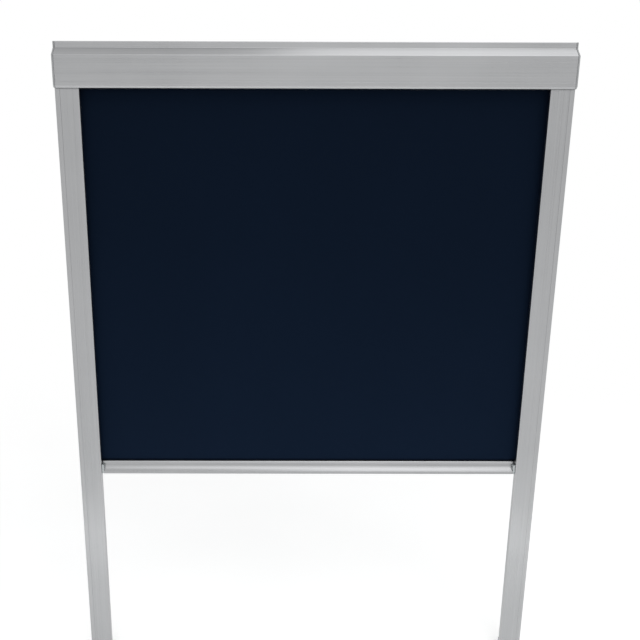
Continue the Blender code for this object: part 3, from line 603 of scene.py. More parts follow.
def blackout_cloth(name):
    """Closely woven blackout cloth: plain weave, slubs along both threads and a slight nap."""
    made, tree, shader, where = blank(name, Specular_IOR_Level=CLOTH_GLOSS)
    axes = node(tree, "SeparateXYZ", {0: where})
    turns = [maths(tree, "MULTIPLY", axes.outputs[axis], math.pi / THREAD) for axis in "XZ"]
    wave_x, wave_z = (maths(tree, "SINE", turn) for turn in turns)
    over = maths(tree, "GREATER_THAN", maths(tree, "MULTIPLY", wave_x, wave_z), 0.0)
    under = maths(tree, "SUBTRACT", 1.0, over)
    warp = maths(tree, "MULTIPLY", over, maths(tree, "ABSOLUTE", wave_x))
    weft = maths(tree, "MULTIPLY", under, maths(tree, "ABSOLUTE", wave_z))
    weave = maths(tree, "ADD", warp, weft)
    slub_x = noise(tree, where, (60, 1, 1600), 3)
    slub_z = noise(tree, where, (1600, 1, 60), 3)
    nap = noise(tree, where, 4200, 2)
    cloud = noise(tree, where, (7, 1, 5), 4)
    mixed = sums(tree, (weave, 0.25), (slub_x, 0.25), (slub_z, 0.2), (cloud, 0.3))
    rough = sums(tree, (weave, 0.3), (nap, 0.4), (cloud, 0.3))
    roughness = spread(tree, rough, 0.78, 0.95)
    height = sums(tree, (weave, 0.5), (slub_x, 0.2), (slub_z, 0.2), (nap, 0.1))
    coat(tree, shader, tint(tree, mixed, NAVY), roughness, height, 0.00006, 0.8)
    return made


def fibres(name, colours, size):
    """Felt or pile: matted fibres, dull and uneven."""
    made, tree, shader, where = blank(name, Specular_IOR_Level=0.2)
    clump = noise(tree, where, 0.3 / size, 4, 0.6)
    hair = noise(tree, where, 1 / size, 3, 0.7)
    mixed = sums(tree, (clump, 0.5), (hair, 0.5))
    colour = tint(tree, mixed, colours, 0.35, 0.65)
    coat(tree, shader, colour, spread(tree, hair, 0.85, 1.0), mixed, 0.00012)
    return made


def plated(name):
    """Zinc-plated steel: faint crystals, a thin chromate tint and rolling marks."""
    made, tree, shader, where = blank(name, Metallic=1.0)
    cells = node(tree, "TexVoronoi", {"Vector": where, "Scale": 420.0}).outputs["Color"]
    crystal = node(tree, "SeparateColor", {0: cells}).outputs[0]
    film = noise(tree, where, 110, 4)
    scratch = noise(tree, where, (900, 40, 900), 2)
    mixed = sums(tree, (crystal, 0.35), (film, 0.65))
    colour = tint(tree, mixed, ZINC, 0.25, 0.75)
    rough = sums(tree, (crystal, 0.3), (film, 0.4), (scratch, 0.3))
    height = sums(tree, (film, 0.5), (scratch, 0.5))
    coat(tree, shader, colour, spread(tree, rough, 0.26, 0.46), height, 0.00001)
    return made


def drawn_wire(name):
    """Spring steel: dark drawn wire with an oiled look."""
    made, tree, shader, where = blank(name, Metallic=1.0)
    film = noise(tree, where, 260, 4)
    draw = noise(tree, where, 2400, 2)
    colour = tint(tree, film, OILED_STEEL)
    coat(tree, shader, colour, spread(tree, draw, 0.22, 0.38), draw, 0.000008)
    return made


ALUMINIUM_X = anodised("anodised_silver_across", "X")
ALUMINIUM_Z = anodised("anodised_silver_down", "Z")
CAP_PLASTIC = moulded("silver_plastic_moulded", CAP_GREY, (0.38, 0.52), 0.0004, 0.00002)
GUIDE_PLASTIC = moulded("grey_plastic_moulded", GUIDE_GREY, (0.42, 0.58), 0.0004, 0.00003)
ACETAL = moulded("white_acetal_moulded", MILKY_WHITE, (0.30, 0.45), 0.0009, 0.00001)
CLOTH = blackout_cloth("navy_cloth_woven")
PILE = fibres("black_pile_fibres", PILE_BLACK, 0.0003)
FELT = fibres("black_felt_fibres", FELT_BLACK, 0.00018)
STEEL = plated("zinc_steel_plated")
WIRE = drawn_wire("spring_steel_drawn")

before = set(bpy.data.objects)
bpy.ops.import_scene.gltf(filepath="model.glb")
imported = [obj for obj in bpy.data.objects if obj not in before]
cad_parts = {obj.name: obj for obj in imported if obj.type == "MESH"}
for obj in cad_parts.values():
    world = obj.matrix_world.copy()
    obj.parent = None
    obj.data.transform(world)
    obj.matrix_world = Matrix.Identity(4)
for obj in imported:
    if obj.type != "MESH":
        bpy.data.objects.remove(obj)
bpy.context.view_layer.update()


# Head box


def at_rail(points, side):
    """From (distance in from the blind's side, depth behind the rail's face) to (x, y)."""
    return [(side * (HALF - u), RAIL_Y + v) for u, v in points]


def at_bar(points):
    """From (depth behind the rail's face, height below the bar's top) to (y, z)."""
    return [(RAIL_Y + v, BAR_TOP - drop) for v, drop in points]


def cap_tongue(side, gap=0):
    widths = (PEG_OUTER - gap, PEG_INNER + gap)
    depths = (PEG_FRONT - gap, PEG_FRONT + TONGUE_DEPTH + gap)
    outline = at_rail(rectangle(widths, depths), side)
    heights = (-HEAD_HEIGHT - TONGUE_LENGTH, -HEAD_HEIGHT + SLOT_LIP + gap)
    return extrusion("tongue", outline, "Z", heights, 0 if gap else CUT_EASE)


def notch_ends(profile):
    """Makes room for the two caps' tongues."""
    for side in SIDES.values():
        cut(profile, cap_tongue(side, SEAT_GAP))


# The head box's front, from its top edge down to its underside
FRONT_CORNERS = [
    (BROW_Y, 0),
    (BROW_Y, -BROW_HEIGHT),
    (HEAD_Y, -BROW_HEIGHT - SLOPE_HEIGHT),
    (HEAD_Y, -HEAD_HEIGHT + CHIN_RISE),
    (HEAD_Y + CHIN_RUN, -HEAD_HEIGHT),
]
FRONT_RADII = [BROW_ROUND, BROW_ROUND, SLOPE_ROUND, 0, CHIN_ROUND]


def head_contour():
    corners = [(BACK_Y, 0), *FRONT_CORNERS, (BACK_Y, -HEAD_HEIGHT)]
    return rounded(corners, [BACK_ROUND, *FRONT_RADII, BACK_ROUND], closed=True)


def grooved(outline):
    """The cover's outline with the fine vee above its lower band."""
    line = -HEAD_HEIGHT + BAND_HEIGHT
    upper, lower = line + GROOVE_DEPTH, line - GROOVE_DEPTH
    vee = [(HEAD_Y, upper), (HEAD_Y + GROOVE_DEPTH, line), (HEAD_Y, lower)]
    made = []
    for a, b in zip(outline, outline[1:] + outline[:1]):
        made.append(a)
        on_face = abs(a.x - HEAD_Y) < MERGE_DISTANCE and abs(b.x - HEAD_Y) < MERGE_DISTANCE
        if on_face and a.y > line > b.y:
            made += [Vector(p) for p in vee]
    return made


def make_head_cover():
    slot = [(SLOT_FRONT, -HEAD_HEIGHT), (SLOT_FRONT, -HEAD_HEIGHT + SLOT_LIP)]
    corners = [(SEAM_Y, 0), *FRONT_CORNERS, *slot]
    outline = grooved(shell(corners, [*FRONT_RADII, SMALL_ROUND], HEAD_WALL))
    cover = extrusion("cover_profile", eased(outline), "X", (-HEAD_HALF, HEAD_HALF))
    notch_ends(cover)
    dress(cover, ALUMINIUM_X, "anodised_silver", "frame", "head_cover")


def make_head_back():
    corners = [
        (SLOT_BACK, -HEAD_HEIGHT + SLOT_LIP),
        (SLOT_BACK, -HEAD_HEIGHT),
        (BACK_Y, -HEAD_HEIGHT),
        (BACK_Y, 0),
        (SEAM_Y + SEAT_GAP, 0),
    ]
    ends = (-HEAD_HALF, HEAD_HALF)
    outline = shell(corners, [SMALL_ROUND, BACK_ROUND, BACK_ROUND], HEAD_WALL)
    back = extrusion("back_profile", eased(outline), "X", ends)

    # the ledge that the cover's top edge rests on
    under = -HEAD_WALL - SEAT_GAP
    root = SEAM_Y + 2 * SEAT_GAP
    front, rear = around(SEAM_Y, LEDGE_REACH)
    ledge = [
        (front, under),
        (root, under),
        (root, -HEAD_WALL / 2),
        (rear, -HEAD_WALL / 2),
        (rear, under - LEDGE_THICKNESS),
        (front, under - LEDGE_THICKNESS),
    ]
    join(back, extrusion("cover_ledge", ledge, "X", ends))

    # the track's two lips, and the bored ports for the caps' screws
    reach = BACK_Y + CLIP_THICKNESS + 2 * SEAT_GAP + HEAD_WALL
    inside = BACK_Y - HEAD_WALL / 2
    for way in (1, -1):
        edge = AXIS_Z + way * TRACK_HEIGHT / 2
        lip = [
            (inside, edge),
            (reach, edge),
            (reach, edge - way * TRACK_LIP),
            (reach - HEAD_WALL, edge - way * TRACK_LIP),
            (reach - HEAD_WALL, edge - way * HEAD_WALL),
            (inside, edge - way * HEAD_WALL),
        ]
        join(back, extrusion("track_lip", eased(lip), "X", ends))
    depths = (BACK_Y - HEAD_WALL - PORT_SIZE, BACK_Y - HEAD_WALL / 2)
    for z in PORT_HEIGHTS.values():
        inward = math.copysign(1, AXIS_Z - z)
        heights = sorted((z + inward * PORT_SIZE / 2, z - inward * (PORT_SIZE + HEAD_WALL) / 2))
        join(back, extrusion("port", rectangle(depths, heights), "X", ends))
        bore = SCREW_RADIUS + SEAT_GAP
        cut(back, rod("port_bore", (-HALF, HALF), bore, (PORT_Y, z), SMALL_SIDES))
    notch_ends(back)
    dress(back, ALUMINIUM_X, "anodised_silver", "frame", "head_back")


def screw_hole():
    """The profile of a countersunk hole with its clearance, from just outside the cap inwards."""
    head, shank = SCREW_HEAD_RADIUS + SEAT_GAP, SCREW_RADIUS + SEAT_GAP
    start, tip = HALF + SLIDE_GAP, HALF - SCREW_LENGTH
    neck = HALF - SCREW_HEAD_RADIUS + SCREW_RADIUS
    return [(start, 0), (start, head), (HALF, head), (neck, shank), (tip, shank), (tip, 0)]


def mirrored(profile, side):
    return [(side * x, radius) for x, radius in profile]


def make_end_cap(name, side):
    plate = (side * (HALF - CAP_THICKNESS), side * HALF)
    cap = extrusion(f"cap_moulding_{name}", head_contour(), "X", plate, MOULD_EASE)
    root = side * (HALF - CAP_THICKNESS / 2)
    join(cap, rod("boss", (root, side * BOSS_FACE), BOSS_RADIUS))
    join(cap, cap_tongue(side))
    bore = (side * (HALF - CAP_THICKNESS - SEAT_GAP), side * (BOSS_FACE - SLIDE_GAP))
    if side < 0:
        radius = AXLE_RADIUS + RUN_GAP + BUSH_WALL + SEAT_GAP
        cut(cap, rod("bush_seat", bore, radius))
    else:
        half = SHAFT_SQUARE / 2 + SEAT_GAP
        socket = rectangle((-half, half), around(AXIS_Z, half))
        cut(cap, extrusion("shaft_socket", socket, "X", bore, 0))
    for z in PORT_HEIGHTS.values():
        profile = mirrored(screw_hole(), side)
        cut(cap, turned("screw_hole", profile, (PORT_Y, z), SMALL_SIDES))
    dress(cap, CAP_PLASTIC, "silver_plastic", "frame", f"end_cap_{name}")


def screw_profile():
    """A countersunk screw's profile: a broken rim, a cone, a thread and a point."""
    face = HALF - SEAT_GAP
    neck = face - SCREW_HEAD_RADIUS + SCREW_RADIUS
    tip = HALF - SCREW_LENGTH
    pitch = (neck - tip) / (SCREW_TURNS + 1)
    profile = [
        (face, 0),
        (face, SCREW_HEAD_RADIUS - SCREW_RIM),
        (face - SCREW_RIM, SCREW_HEAD_RADIUS),
        (neck, SCREW_RADIUS),
    ]
    for i in range(SCREW_TURNS):
        root = neck - pitch * (i + THREAD_START)
        profile += [(root, SCREW_RADIUS - THREAD_DEPTH), (root - pitch / 2, SCREW_RADIUS)]
    return profile + [(tip, SCREW_RADIUS / 3), (tip, 0)]


def make_cap_screws(name, side):
    """Countersunk screws, each with a cross recess."""
    half = RECESS_WIDTH / 2
    quarter = [(half, half), (half, RECESS_ARM), (-half, RECESS_ARM)]
    cross = [Matrix.Rotation(math.pi / 2 * i, 2) @ Vector(p) for i in range(4) for p in quarter]
    depth = (side * (HALF - SEAT_GAP - RECESS_DEPTH), side * HALF)
    for row, z in PORT_HEIGHTS.items():
        title = f"countersunk_screw_{name}_{row}"
        screw = turned(title, mirrored(screw_profile(), side), (PORT_Y, z), SMALL_SIDES)
        outline = eased([(PORT_Y + p.x, z + p.y) for p in cross], RECESS_EASE)
        cut(screw, extrusion("recess", outline, "X", depth, 0))
        dress(screw, STEEL, "zinc_steel", "frame", f"cap_screw_{name}_{row}")


def make_clip_bracket(name, side):
    near = BACK_Y + SEAT_GAP
    far = near + CLIP_THICKNESS + CLIP_PLATE
    corners = [(side * (HALF - CLIP_GRIP), near), (side * HALF, near), (side * HALF, far)]
    if side < 0:
        corners.reverse()
    half = TRACK_HEIGHT / 2 - HEAD_WALL - SEAT_GAP
    outline = eased(shell(corners, [CLIP_BEND], CLIP_THICKNESS))
    heights = around(AXIS_Z, half)
    bracket = extrusion(f"folded_bracket_{name}", outline, "Z", heights, PLATE_EASE)
    for z in around(AXIS_Z, half / 2):
        cut(bracket, through_hole(side, far - CLIP_PLATE / 2, z))
    dress(bracket, STEEL, "zinc_steel", "frame", f"clip_bracket_{name}")


def through_hole(side, y, z):
    ends = (side * (HALF - BASE_NOSE / 2), side * (HALF + SLIDE_GAP))
    return rod("hole", ends, FIXING_HOLE_RADIUS, (y, z), SMALL_SIDES)


# Cloth


def make_roll():
    """The cloth wound on the tube, one turn on the other."""
    inner = TUBE_RADIUS + SEAT_GAP
    turns = (ROLL_RADIUS - inner) / FABRIC_THICKNESS
    steps = round(turns * ROLL_STEPS)
    start = math.pi - math.tau * turns
    cloth = FABRIC_THICKNESS * ROLLED_SHARE

    def point(i, lift):
        turn = start + math.tau * turns * i / steps
        radius = inner + (ROLL_RADIUS - inner - cloth) * i / steps + lift
        return Vector((radius * math.cos(turn), AXIS_Z + radius * math.sin(turn)))

    outside = [point(i, cloth) for i in range(steps + 1)]
    inside = [point(i, 0) for i in range(steps, -1, -1)]
    roll = extrusion("wound_cloth", outside + inside, "X", (-FABRIC_HALF, FABRIC_HALF), 0)
    dress(roll, CLOTH, "navy_cloth", "roller", "fabric_roll")


def ripple(x, z):
    """How far the hanging cloth stands off its plane; none where the roll and the bar hold it."""
    down = (AXIS_Z - z) / (AXIS_Z - BAR_TOP)
    if not 0 < down < 1:
        return 0.0
    across, shift, along = BROAD_RIPPLE
    broad = math.sin(x * across + shift) * math.cos(z * along)
    across, along, share = FINE_RIPPLE
    fine = share * math.sin(x * across - z * along)
    return RIPPLE_HEIGHT * math.sin(math.pi * down) ** RIPPLE_HOLD * (broad + fine)


def make_sheet():
    """The hanging cloth: a fine grid with a front, a back and cut edges."""
    hem = BAR_TOP - HEM_DROP
    columns = steps_between(-FABRIC_HALF, FABRIC_HALF, SHEET_COLUMNS)
    rows = steps_between(AXIS_Z, hem, SHEET_ROWS)
    tucked = steps_between(hem - SEAT_GAP, BAR_TOP - SEAT_GAP - FABRIC_TUCK, TUCK_ROWS)
    narrow = (BAR_HALF - SEAT_GAP) / FABRIC_HALF
    bm = bmesh.new()
    grids = []
    for lift in (-FABRIC_THICKNESS / 2, FABRIC_THICKNESS / 2):
        grid = []
        for z in rows + tucked:
            reach = narrow if z in tucked else 1
            points = [(x * reach, FABRIC_Y + ripple(x, z) + lift, z) for x in columns]
            grid.append([bm.verts.new(point) for point in points])
        grids.append(grid)
        for a, b in zip(grid, grid[1:]):
            for i in range(SHEET_COLUMNS):
                bm.faces.new((a[i], a[i + 1], b[i + 1], b[i]))
    front, back = grids
    for row in (0, -1):
        for i in range(SHEET_COLUMNS):
            edge = (front[row][i], front[row][i + 1])
            bm.faces.new((*edge, back[row][i + 1], back[row][i]))
    for column in (0, -1):
        for i in range(len(front) - 1):
            edge = (front[i][column], front[i + 1][column])
            bm.faces.new((*edge, back[i + 1][column], back[i][column]))
    sheet = mesh_object("hanging_cloth", bm)
    sheet.data.shade_smooth()
    sheet.data.set_sharp_from_angle(angle=SHARP_ANGLE)
    sheet.data.materials.append(CLOTH)
    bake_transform(sheet)
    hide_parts("fabric_sheet")


# Springs


def coil_share(turn, turns, closed):
    """How far along a long spring a turn lies, with its first and last turn closed up."""
    if turn < 1:
        return closed * turn
    if turn > turns - 1:
        return 1 - closed * (turns - turn)
    return closed + (1 - 2 * closed) / (turns - 2) * (turn - 1)


def make_coil(name, ends, radius, wire, turns, centre):
    """A spring of round wire along X, as one curve."""
    low, high = min(ends) + wire, max(ends) - wire
    closed = 2 * wire * COIL_PITCH / (high - low)
    points = []
    for i in range(turns * COIL_STEPS + 1):
        turn = i / COIL_STEPS
        share = coil_share(turn, turns, closed) if turns > LONG_COIL else turn / turns
        y = centre[0] + radius * math.cos(math.tau * turn)
        z = centre[1] + radius * math.sin(math.tau * turn)
        points.append((low + (high - low) * share, y, z, 1))
    curve = bpy.data.curves.new(name, "CURVE")
    curve.dimensions = "3D"
    curve.bevel_depth = wire
    curve.bevel_resolution = WIRE_STEPS
    curve.use_fill_caps = True
    spline = curve.splines.new("POLY")
    spline.points.add(len(points) - 1)
    for target, point in zip(spline.points, points):
        target.co = point
    obj = bpy.data.objects.new(name, curve)
    bpy.context.scene.collection.objects.link(obj)
    return obj


def make_torsion_spring():
    drive_face = HALF - SHAFT_REACH + ANCHOR_LENGTH
    tube_half = FABRIC_HALF + TUBE_END
    anchor_face = tube_half - PLUG_LENGTH - SLIDE_GAP - ANCHOR_LENGTH
    ends = (drive_face + SEAT_GAP, anchor_face - SEAT_GAP)
    radius = SHAFT_RADIUS + SPRING_CLEARANCE + SPRING_WIRE
    spring = make_coil("counter_spring", ends, radius, SPRING_WIRE, SPRING_TURNS, ROLLER_CENTRE)
    dress(spring, WIRE, "spring_steel", "frame", "torsion_spring")


# Pull bar


def finger_curve():
    """The finger groove's curve, from the flange's lower edge down and forwards to the lip."""
    start = Vector((BAR_SETBACK - FLANGE_RUN, FLANGE_HEIGHT))
    end = Vector((LIP_SETBACK + LIP_LEAN + LIP_SHOULDER, LIP_BELOW_TOP))
    first = start + Vector((-FINGER_TOP_RUN, FINGER_TOP_DROP))
    second = end + Vector((FINGER_LIP_RUN, -FINGER_LIP_RISE))
    points = []
    for i in range(GRIP_STEPS + 1):
        t = i / GRIP_STEPS
        s = 1 - t
        points.append(s**3 * start + 3 * s * s * t * first + 3 * s * t * t * second + t**3 * end)
    return points


def bar_contour():
    curve = finger_curve()
    top = rounded([(BAR_DEPTH, 0), (BAR_SETBACK, 0), curve[0]], [FLANGE_ROUND])
    lip = [
        curve[-1],
        (LIP_SETBACK + LIP_LEAN, LIP_BELOW_TOP + LIP_SHOULDER),
        (LIP_SETBACK, LIP_BELOW_TOP + LIP_HEIGHT),
        (LIP_SETBACK + LIP_HEEL, BAR_HEIGHT),
        (BAR_DEPTH, BAR_HEIGHT),
    ]
    bottom = rounded(lip, [LIP_ROUND, SMALL_ROUND, EDGE_ROUND])
    return [tuple(p) for p in top[:-1] + curve[:-1] + bottom]


def guide_contour():
    """The moulded end's section: it closes the groove's end, and rises behind the flange."""
    shoulder = FLANGE_HEIGHT + SEAT_GAP
    riser = FLANGE_BACK + SEAT_GAP
    front = LIP_SETBACK + PLATE_SETBACK
    return [
        (BAR_DEPTH, RISER_DROP),
        (riser, RISER_DROP),
        (riser, shoulder),
        (front, shoulder),
        (front, LIP_BELOW_TOP + LIP_HEIGHT),
        (LIP_SETBACK + LIP_HEEL, BAR_HEIGHT),
        (BAR_DEPTH, BAR_HEIGHT),
    ]


def bar_pocket(gap):
    depths = (POCKET_FRONT + gap, BAR_DEPTH - POCKET_WALL - gap)
    drops = (POCKET_TOP + gap, BAR_HEIGHT - POCKET_WALL - gap)
    return at_bar(rectangle(depths, drops))


def spline_keyhole():
    half = SPLINE_SLOT / 2
    neck = math.asin(half / SPLINE_BORE)
    outline = [(FABRIC_SETBACK + half, -SLIDE_GAP), (FABRIC_SETBACK - half, -SLIDE_GAP)]
    for i in range(SMALL_SIDES + 1):
        turn = neck + (math.tau - 2 * neck) * i / SMALL_SIDES
        depth = FABRIC_SETBACK - SPLINE_BORE * math.sin(turn)
        outline.append((depth, SPLINE_DEPTH - SPLINE_BORE * math.cos(turn)))
    return at_bar(outline)


def make_bar():
    bar = extrusion("grip_profile", eased(at_bar(bar_contour())), "X", (-BAR_HALF, BAR_HALF))
    cut(bar, extrusion("keyhole", spline_keyhole(), "X", (-HALF, HALF), 0))
    cut(bar, extrusion("rear_pocket", eased(bar_pocket(0)), "X", (-HALF, HALF), 0))

    # only the flange reaches in behind the rails' lips
    lower = (FLANGE_BACK, FLANGE_HEIGHT)
    corners = [(FLANGE_BACK, 0), (BAR_SETBACK, 0), tuple(finger_curve()[0]), lower]
    flange = eased(at_bar(rounded(corners, [0, FLANGE_ROUND, 0, 0], closed=True)))
    for side in SIDES.values():
        ends = (side * (BAR_HALF - BAR_END_GAP), side * FLANGE_HALF)
        join(bar, extrusion("flange_end", flange, "X", ends))
    dress(bar, ALUMINIUM_X, "anodised_silver", "pull_bar", "bar_profile")


def make_bar_guide(name, side):
    ends = (side * PLATE_INNER, side * PLATE_OUTER)
    guide = extrusion(f"moulded_guide_{name}", at_bar(guide_contour()), "X", ends, 0)
    root = side * (PLATE_INNER + PLATE_OUTER) / 2
    plug = (side * (BAR_HALF - GUIDE_PLUG), root)
    join(guide, extrusion("plug", bar_pocket(SEAT_GAP), "X", plug, 0))
    depths = around(FABRIC_SETBACK, TAB_THICKNESS / 2)
    tab = at_bar(rectangle(depths, (RISER_DROP + TAB_INSET, BAR_HEIGHT - TAB_INSET)))
    join(guide, extrusion("tab", tab, "X", (root, side * (BLOCK_INNER + BLOCK_FLOOR / 2)), 0))
    wall = RAIL_WALL + SLIDE_GAP
    body = at_bar(rectangle((wall, RAIL_DEPTH - wall), (0, BAR_HEIGHT)))
    join(guide, extrusion("block", body, "X", (side * BLOCK_INNER, side * BLOCK_OUTER), 0))
    hole = pad_square(STEM_SIZE / 2 + SEAT_GAP)
    depth = (side * (BLOCK_INNER + BLOCK_FLOOR), side * (BLOCK_OUTER + SLIDE_GAP))
    cut(guide, extrusion("pad_pocket", hole, "X", depth, 0))
    soften(guide, GUIDE_EASE)
    dress(guide, GUIDE_PLASTIC, "grey_plastic", "pull_bar", f"bar_guide_{name}")


def pad_square(half):
    return rectangle(around(PAD_Y, half), around(BAR_MIDDLE, half))


def make_brake_pad(name, side):
    depths = around(PAD_Y, RAIL_DEPTH / 2 - RAIL_WALL - SLIDE_GAP - PAD_MARGIN)
    heights = around(BAR_MIDDLE, BAR_HEIGHT / 2 - PAD_MARGIN)
    outline = rounded(rectangle(depths, heights), [PAD_ROUND] * 4, closed=True)
    ends = (side * PAD_BACK, side * PAD_FACE)
    pad = extrusion(f"felt_pad_{name}", outline, "X", ends, PAD_EASE)
    stem_end = PAD_BACK - STEM_LENGTH
    ends = (side * stem_end, side * (PAD_BACK + PAD_THICKNESS / 2))
    join(pad, extrusion("stem", pad_square(STEM_SIZE / 2), "X", ends, PLATE_EASE))
    dress(pad, FELT, "black_pile", f"pad_{name}", f"brake_pad_{name}")

    floor = BLOCK_INNER + BLOCK_FLOOR + SEAT_GAP
    ends = (side * floor, side * (stem_end - PAD_TRAVEL - RUN_GAP))
    wire = (STEM_SIZE / 2 - PAD_SPRING_WIRE, PAD_SPRING_WIRE, PAD_SPRING_TURNS)
    spring = make_coil(f"brake_spring_{name}", ends, *wire, (PAD_Y, BAR_MIDDLE))
    dress(spring, WIRE, "spring_steel", "pull_bar", f"pad_spring_{name}")


# Side rails


def rail_profile(name, corners, radii, side):
    outline = eased(at_rail(shell(corners, radii, RAIL_WALL), side))
    return extrusion(name, outline, "Z", (RAIL_BOTTOM, RAIL_TOP))


def make_rail_base(name, side):
    corners = [
        (BASE_LEG, BASE_DEPTH),
        (0, BASE_DEPTH),
        (0, 0),
        (BASE_NOSE + SEAM_FILL, 0),
        (BASE_NOSE + SEAM_FILL, BASE_HOOK),
    ]
    radii = [SMALL_ROUND, SMALL_ROUND, SEAM_ROUND]
    base = rail_profile(f"screwed_base_{name}", corners, radii, side)
    run = RAIL_TOP - RAIL_BOTTOM - 2 * RAIL_HOLE_INSET
    for i in range(RAIL_HOLES):
        z = RAIL_TOP - RAIL_HOLE_INSET - run * i / (RAIL_HOLES - 1)
        cut(base, through_hole(side, PAD_Y, z))
    dress(base, ALUMINIUM_Z, "anodised_silver", "frame", f"rail_base_{name}")


def make_side_channel(name, side):
    corners = [
        (RAIL_FACE - CHANNEL_BACK_SHORT, RAIL_DEPTH),
        (CHANNEL_OUTER, RAIL_DEPTH),
        (CHANNEL_OUTER, 0),
        (RAIL_FACE, 0),
        (RAIL_FACE, CHANNEL_LIP),
    ]
    radii = [SMALL_ROUND, SEAM_ROUND, EDGE_ROUND]
    channel = rail_profile(f"clipped_channel_{name}", corners, radii, side)
    dress(channel, ALUMINIUM_Z, "anodised_silver", "frame", f"side_channel_{name}")


def tuft_ring(bm, middle, radius, z, twist, side):
    ring = []
    for k in range(TUFT_SIDES):
        turn = twist + math.tau * k / TUFT_SIDES
        x, y = at_rail([(middle[0] + radius * math.cos(turn), middle[1])], side)[0]
        ring.append(bm.verts.new((x, y, z + radius * math.sin(turn))))
    return ring


def make_seal(name, side, row, root, shoulder, tip):
    """A pile strip: its flat backing, and rows of tufts that stand on it."""
    outline = at_rail(rectangle(around(SEAL_MIDDLE, SEAL_BASE / 2), (root, shoulder)), side)
    seal = extrusion(f"{row}_pile_{name}", outline, "Z", (RAIL_BOTTOM, RAIL_TOP))
    chance = random.Random(f"{row}{name}")
    bm = bmesh.new()
    bm.from_mesh(seal.data)
    reach = SEAL_PILE / 2 - TUFT_RADIUS
    for i in range(int((RAIL_TOP - RAIL_BOTTOM) / TUFT_PITCH) - 1):
        for column, lead in ((-1, 0.5), (1, 1)):
            z = RAIL_BOTTOM + TUFT_PITCH * (i + lead)
            foot = (SEAL_MIDDLE + column * reach, shoulder - (shoulder - root) / 4)
            end = tip + (shoulder - tip) * chance.uniform(0, TUFT_SHORT)
            top = (foot[0] + chance.uniform(-TUFT_LEAN, TUFT_LEAN), end)
            rise = chance.uniform(-TUFT_LEAN, TUFT_LEAN)
            twist = chance.uniform(0, math.tau)
            low = tuft_ring(bm, foot, TUFT_RADIUS, z, twist, side)
            high = tuft_ring(bm, top, TUFT_RADIUS * TUFT_TAPER, z + rise, twist, side)
            for k in range(TUFT_SIDES):
                bm.faces.new((low[k], low[k - 1], high[k - 1], high[k]))
            bm.faces.new(high)
    bmesh.ops.recalc_face_normals(bm, faces=bm.faces)
    bm.to_mesh(seal.data)
    bm.free()
    dress(seal, PILE, "black_pile", "frame", f"{row}_seal_{name}")


def make_seals(name, side):
    reach = TAB_THICKNESS / 2 + SEAT_GAP
    wall = RAIL_WALL + SEAT_GAP
    make_seal(name, side, "front", wall, wall + SEAL_BASE_THICKNESS, FABRIC_SETBACK - reach)
    root = RAIL_DEPTH - wall
    make_seal(name, side, "rear", root, root - SEAL_BASE_THICKNESS, FABRIC_SETBACK + reach)


def make_foot_cap(name, side):
    corners = [
        (0, 0),
        (RAIL_FACE, 0),
        (RAIL_FACE, CHANNEL_LIP),
        (RAIL_FACE - CHANNEL_BACK_SHORT, BASE_DEPTH),
        (0, BASE_DEPTH),
    ]
    radii = [SMALL_ROUND, EDGE_ROUND, SMALL_ROUND, SMALL_ROUND, SMALL_ROUND]
    outline = at_rail(rounded(corners, radii, closed=True), side)
    heights = (-BLIND_HEIGHT, FOOT_TOP)
    foot = extrusion(f"foot_moulding_{name}", outline, "Z", heights, MOULD_EASE)
    low = FOOT_TOP - FOOT_THICKNESS / 2
    widths = (TRACK_FLOOR + SEAT_GAP, SEAL_MIDDLE - SEAL_BASE / 2 - SLIDE_GAP)
    depths = (RAIL_WALL + SEAT_GAP, RAIL_DEPTH - RAIL_WALL - SEAT_GAP)
    stop = eased(at_rail(rectangle(widths, depths), side))
    join(foot, extrusion("stop", stop, "Z", (low, FOOT_TOP + FOOT_STOP)))
    peg = at_rail(rectangle((PEG_OUTER, PEG_INNER), (PEG_FRONT, PEG_FRONT + TONGUE_DEPTH)), side)
    join(foot, extrusion("peg", eased(peg), "Z", (low, FOOT_TOP + FOOT_PEG)))
    dress(foot, CAP_PLASTIC, "silver_plastic", "frame", f"foot_cap_{name}")


def finish_cad_nodes():
    """The pieces inside the roller and the bar keep their solids, with better materials."""
    finishes = {
        "roller_tube": ALUMINIUM_X,
        "idle_plug": ACETAL,
        "idle_bush": ACETAL,
        "bearing_plug": ACETAL,
        "spring_shaft": STEEL,
        "spring_anchor": ACETAL,
        "drive_plug": ACETAL,
        "bar_spline": GUIDE_PLASTIC,
    }
    for name, material in finishes.items():
        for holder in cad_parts[name].material_slots:
            holder.material = material


make_head_cover()
make_head_back()
make_roll()
make_sheet()
make_torsion_spring()
make_bar()
makers = (
    make_end_cap,
    make_cap_screws,
    make_clip_bracket,
    make_bar_guide,
    make_brake_pad,
    make_rail_base,
    make_side_channel,
    make_seals,
    make_foot_cap,
)
for name_and_side in SIDES.items():
    for make in makers:
        make(*name_and_side)
finish_cad_nodes()


# Floor, light and camera

WHITE = (1, 1, 1, 1)
FLOOR_SIDES = 96
FLOOR_RADIUS = 12
FLOOR_LIFT = 0.50
FLOOR_NEAR = 0.5
FLOOR_FAR = 1.6
ROOM_COLOUR = (0.98, 0.99, 1.0, 1)
ROOM_LIGHT = 0.60
# how bright the metal sees the backdrop: (height on the world's sphere, strength)
ROOM_LEVELS = [(0.12, 0.84), (0.38, 1.0), (0.78, 1.0), (0.94, 0.80)]

# name, place, target, size, watts, and whether the metal mirrors it
LAMPS = [
    ("overhead", (0.55, -0.2, 1.4), (0.55, -0.2, 0), (1.1, 3.0), 8, True),
    ("front_softbox", (0.6, -2.9, 2.0), (0.1, 0, -0.3), (3.2, 2.2), 14, True),
    ("low_fill", (0, -0.42, -0.74), (0, 0, -0.50), (1.0, 0.1), 2.5, False),
]

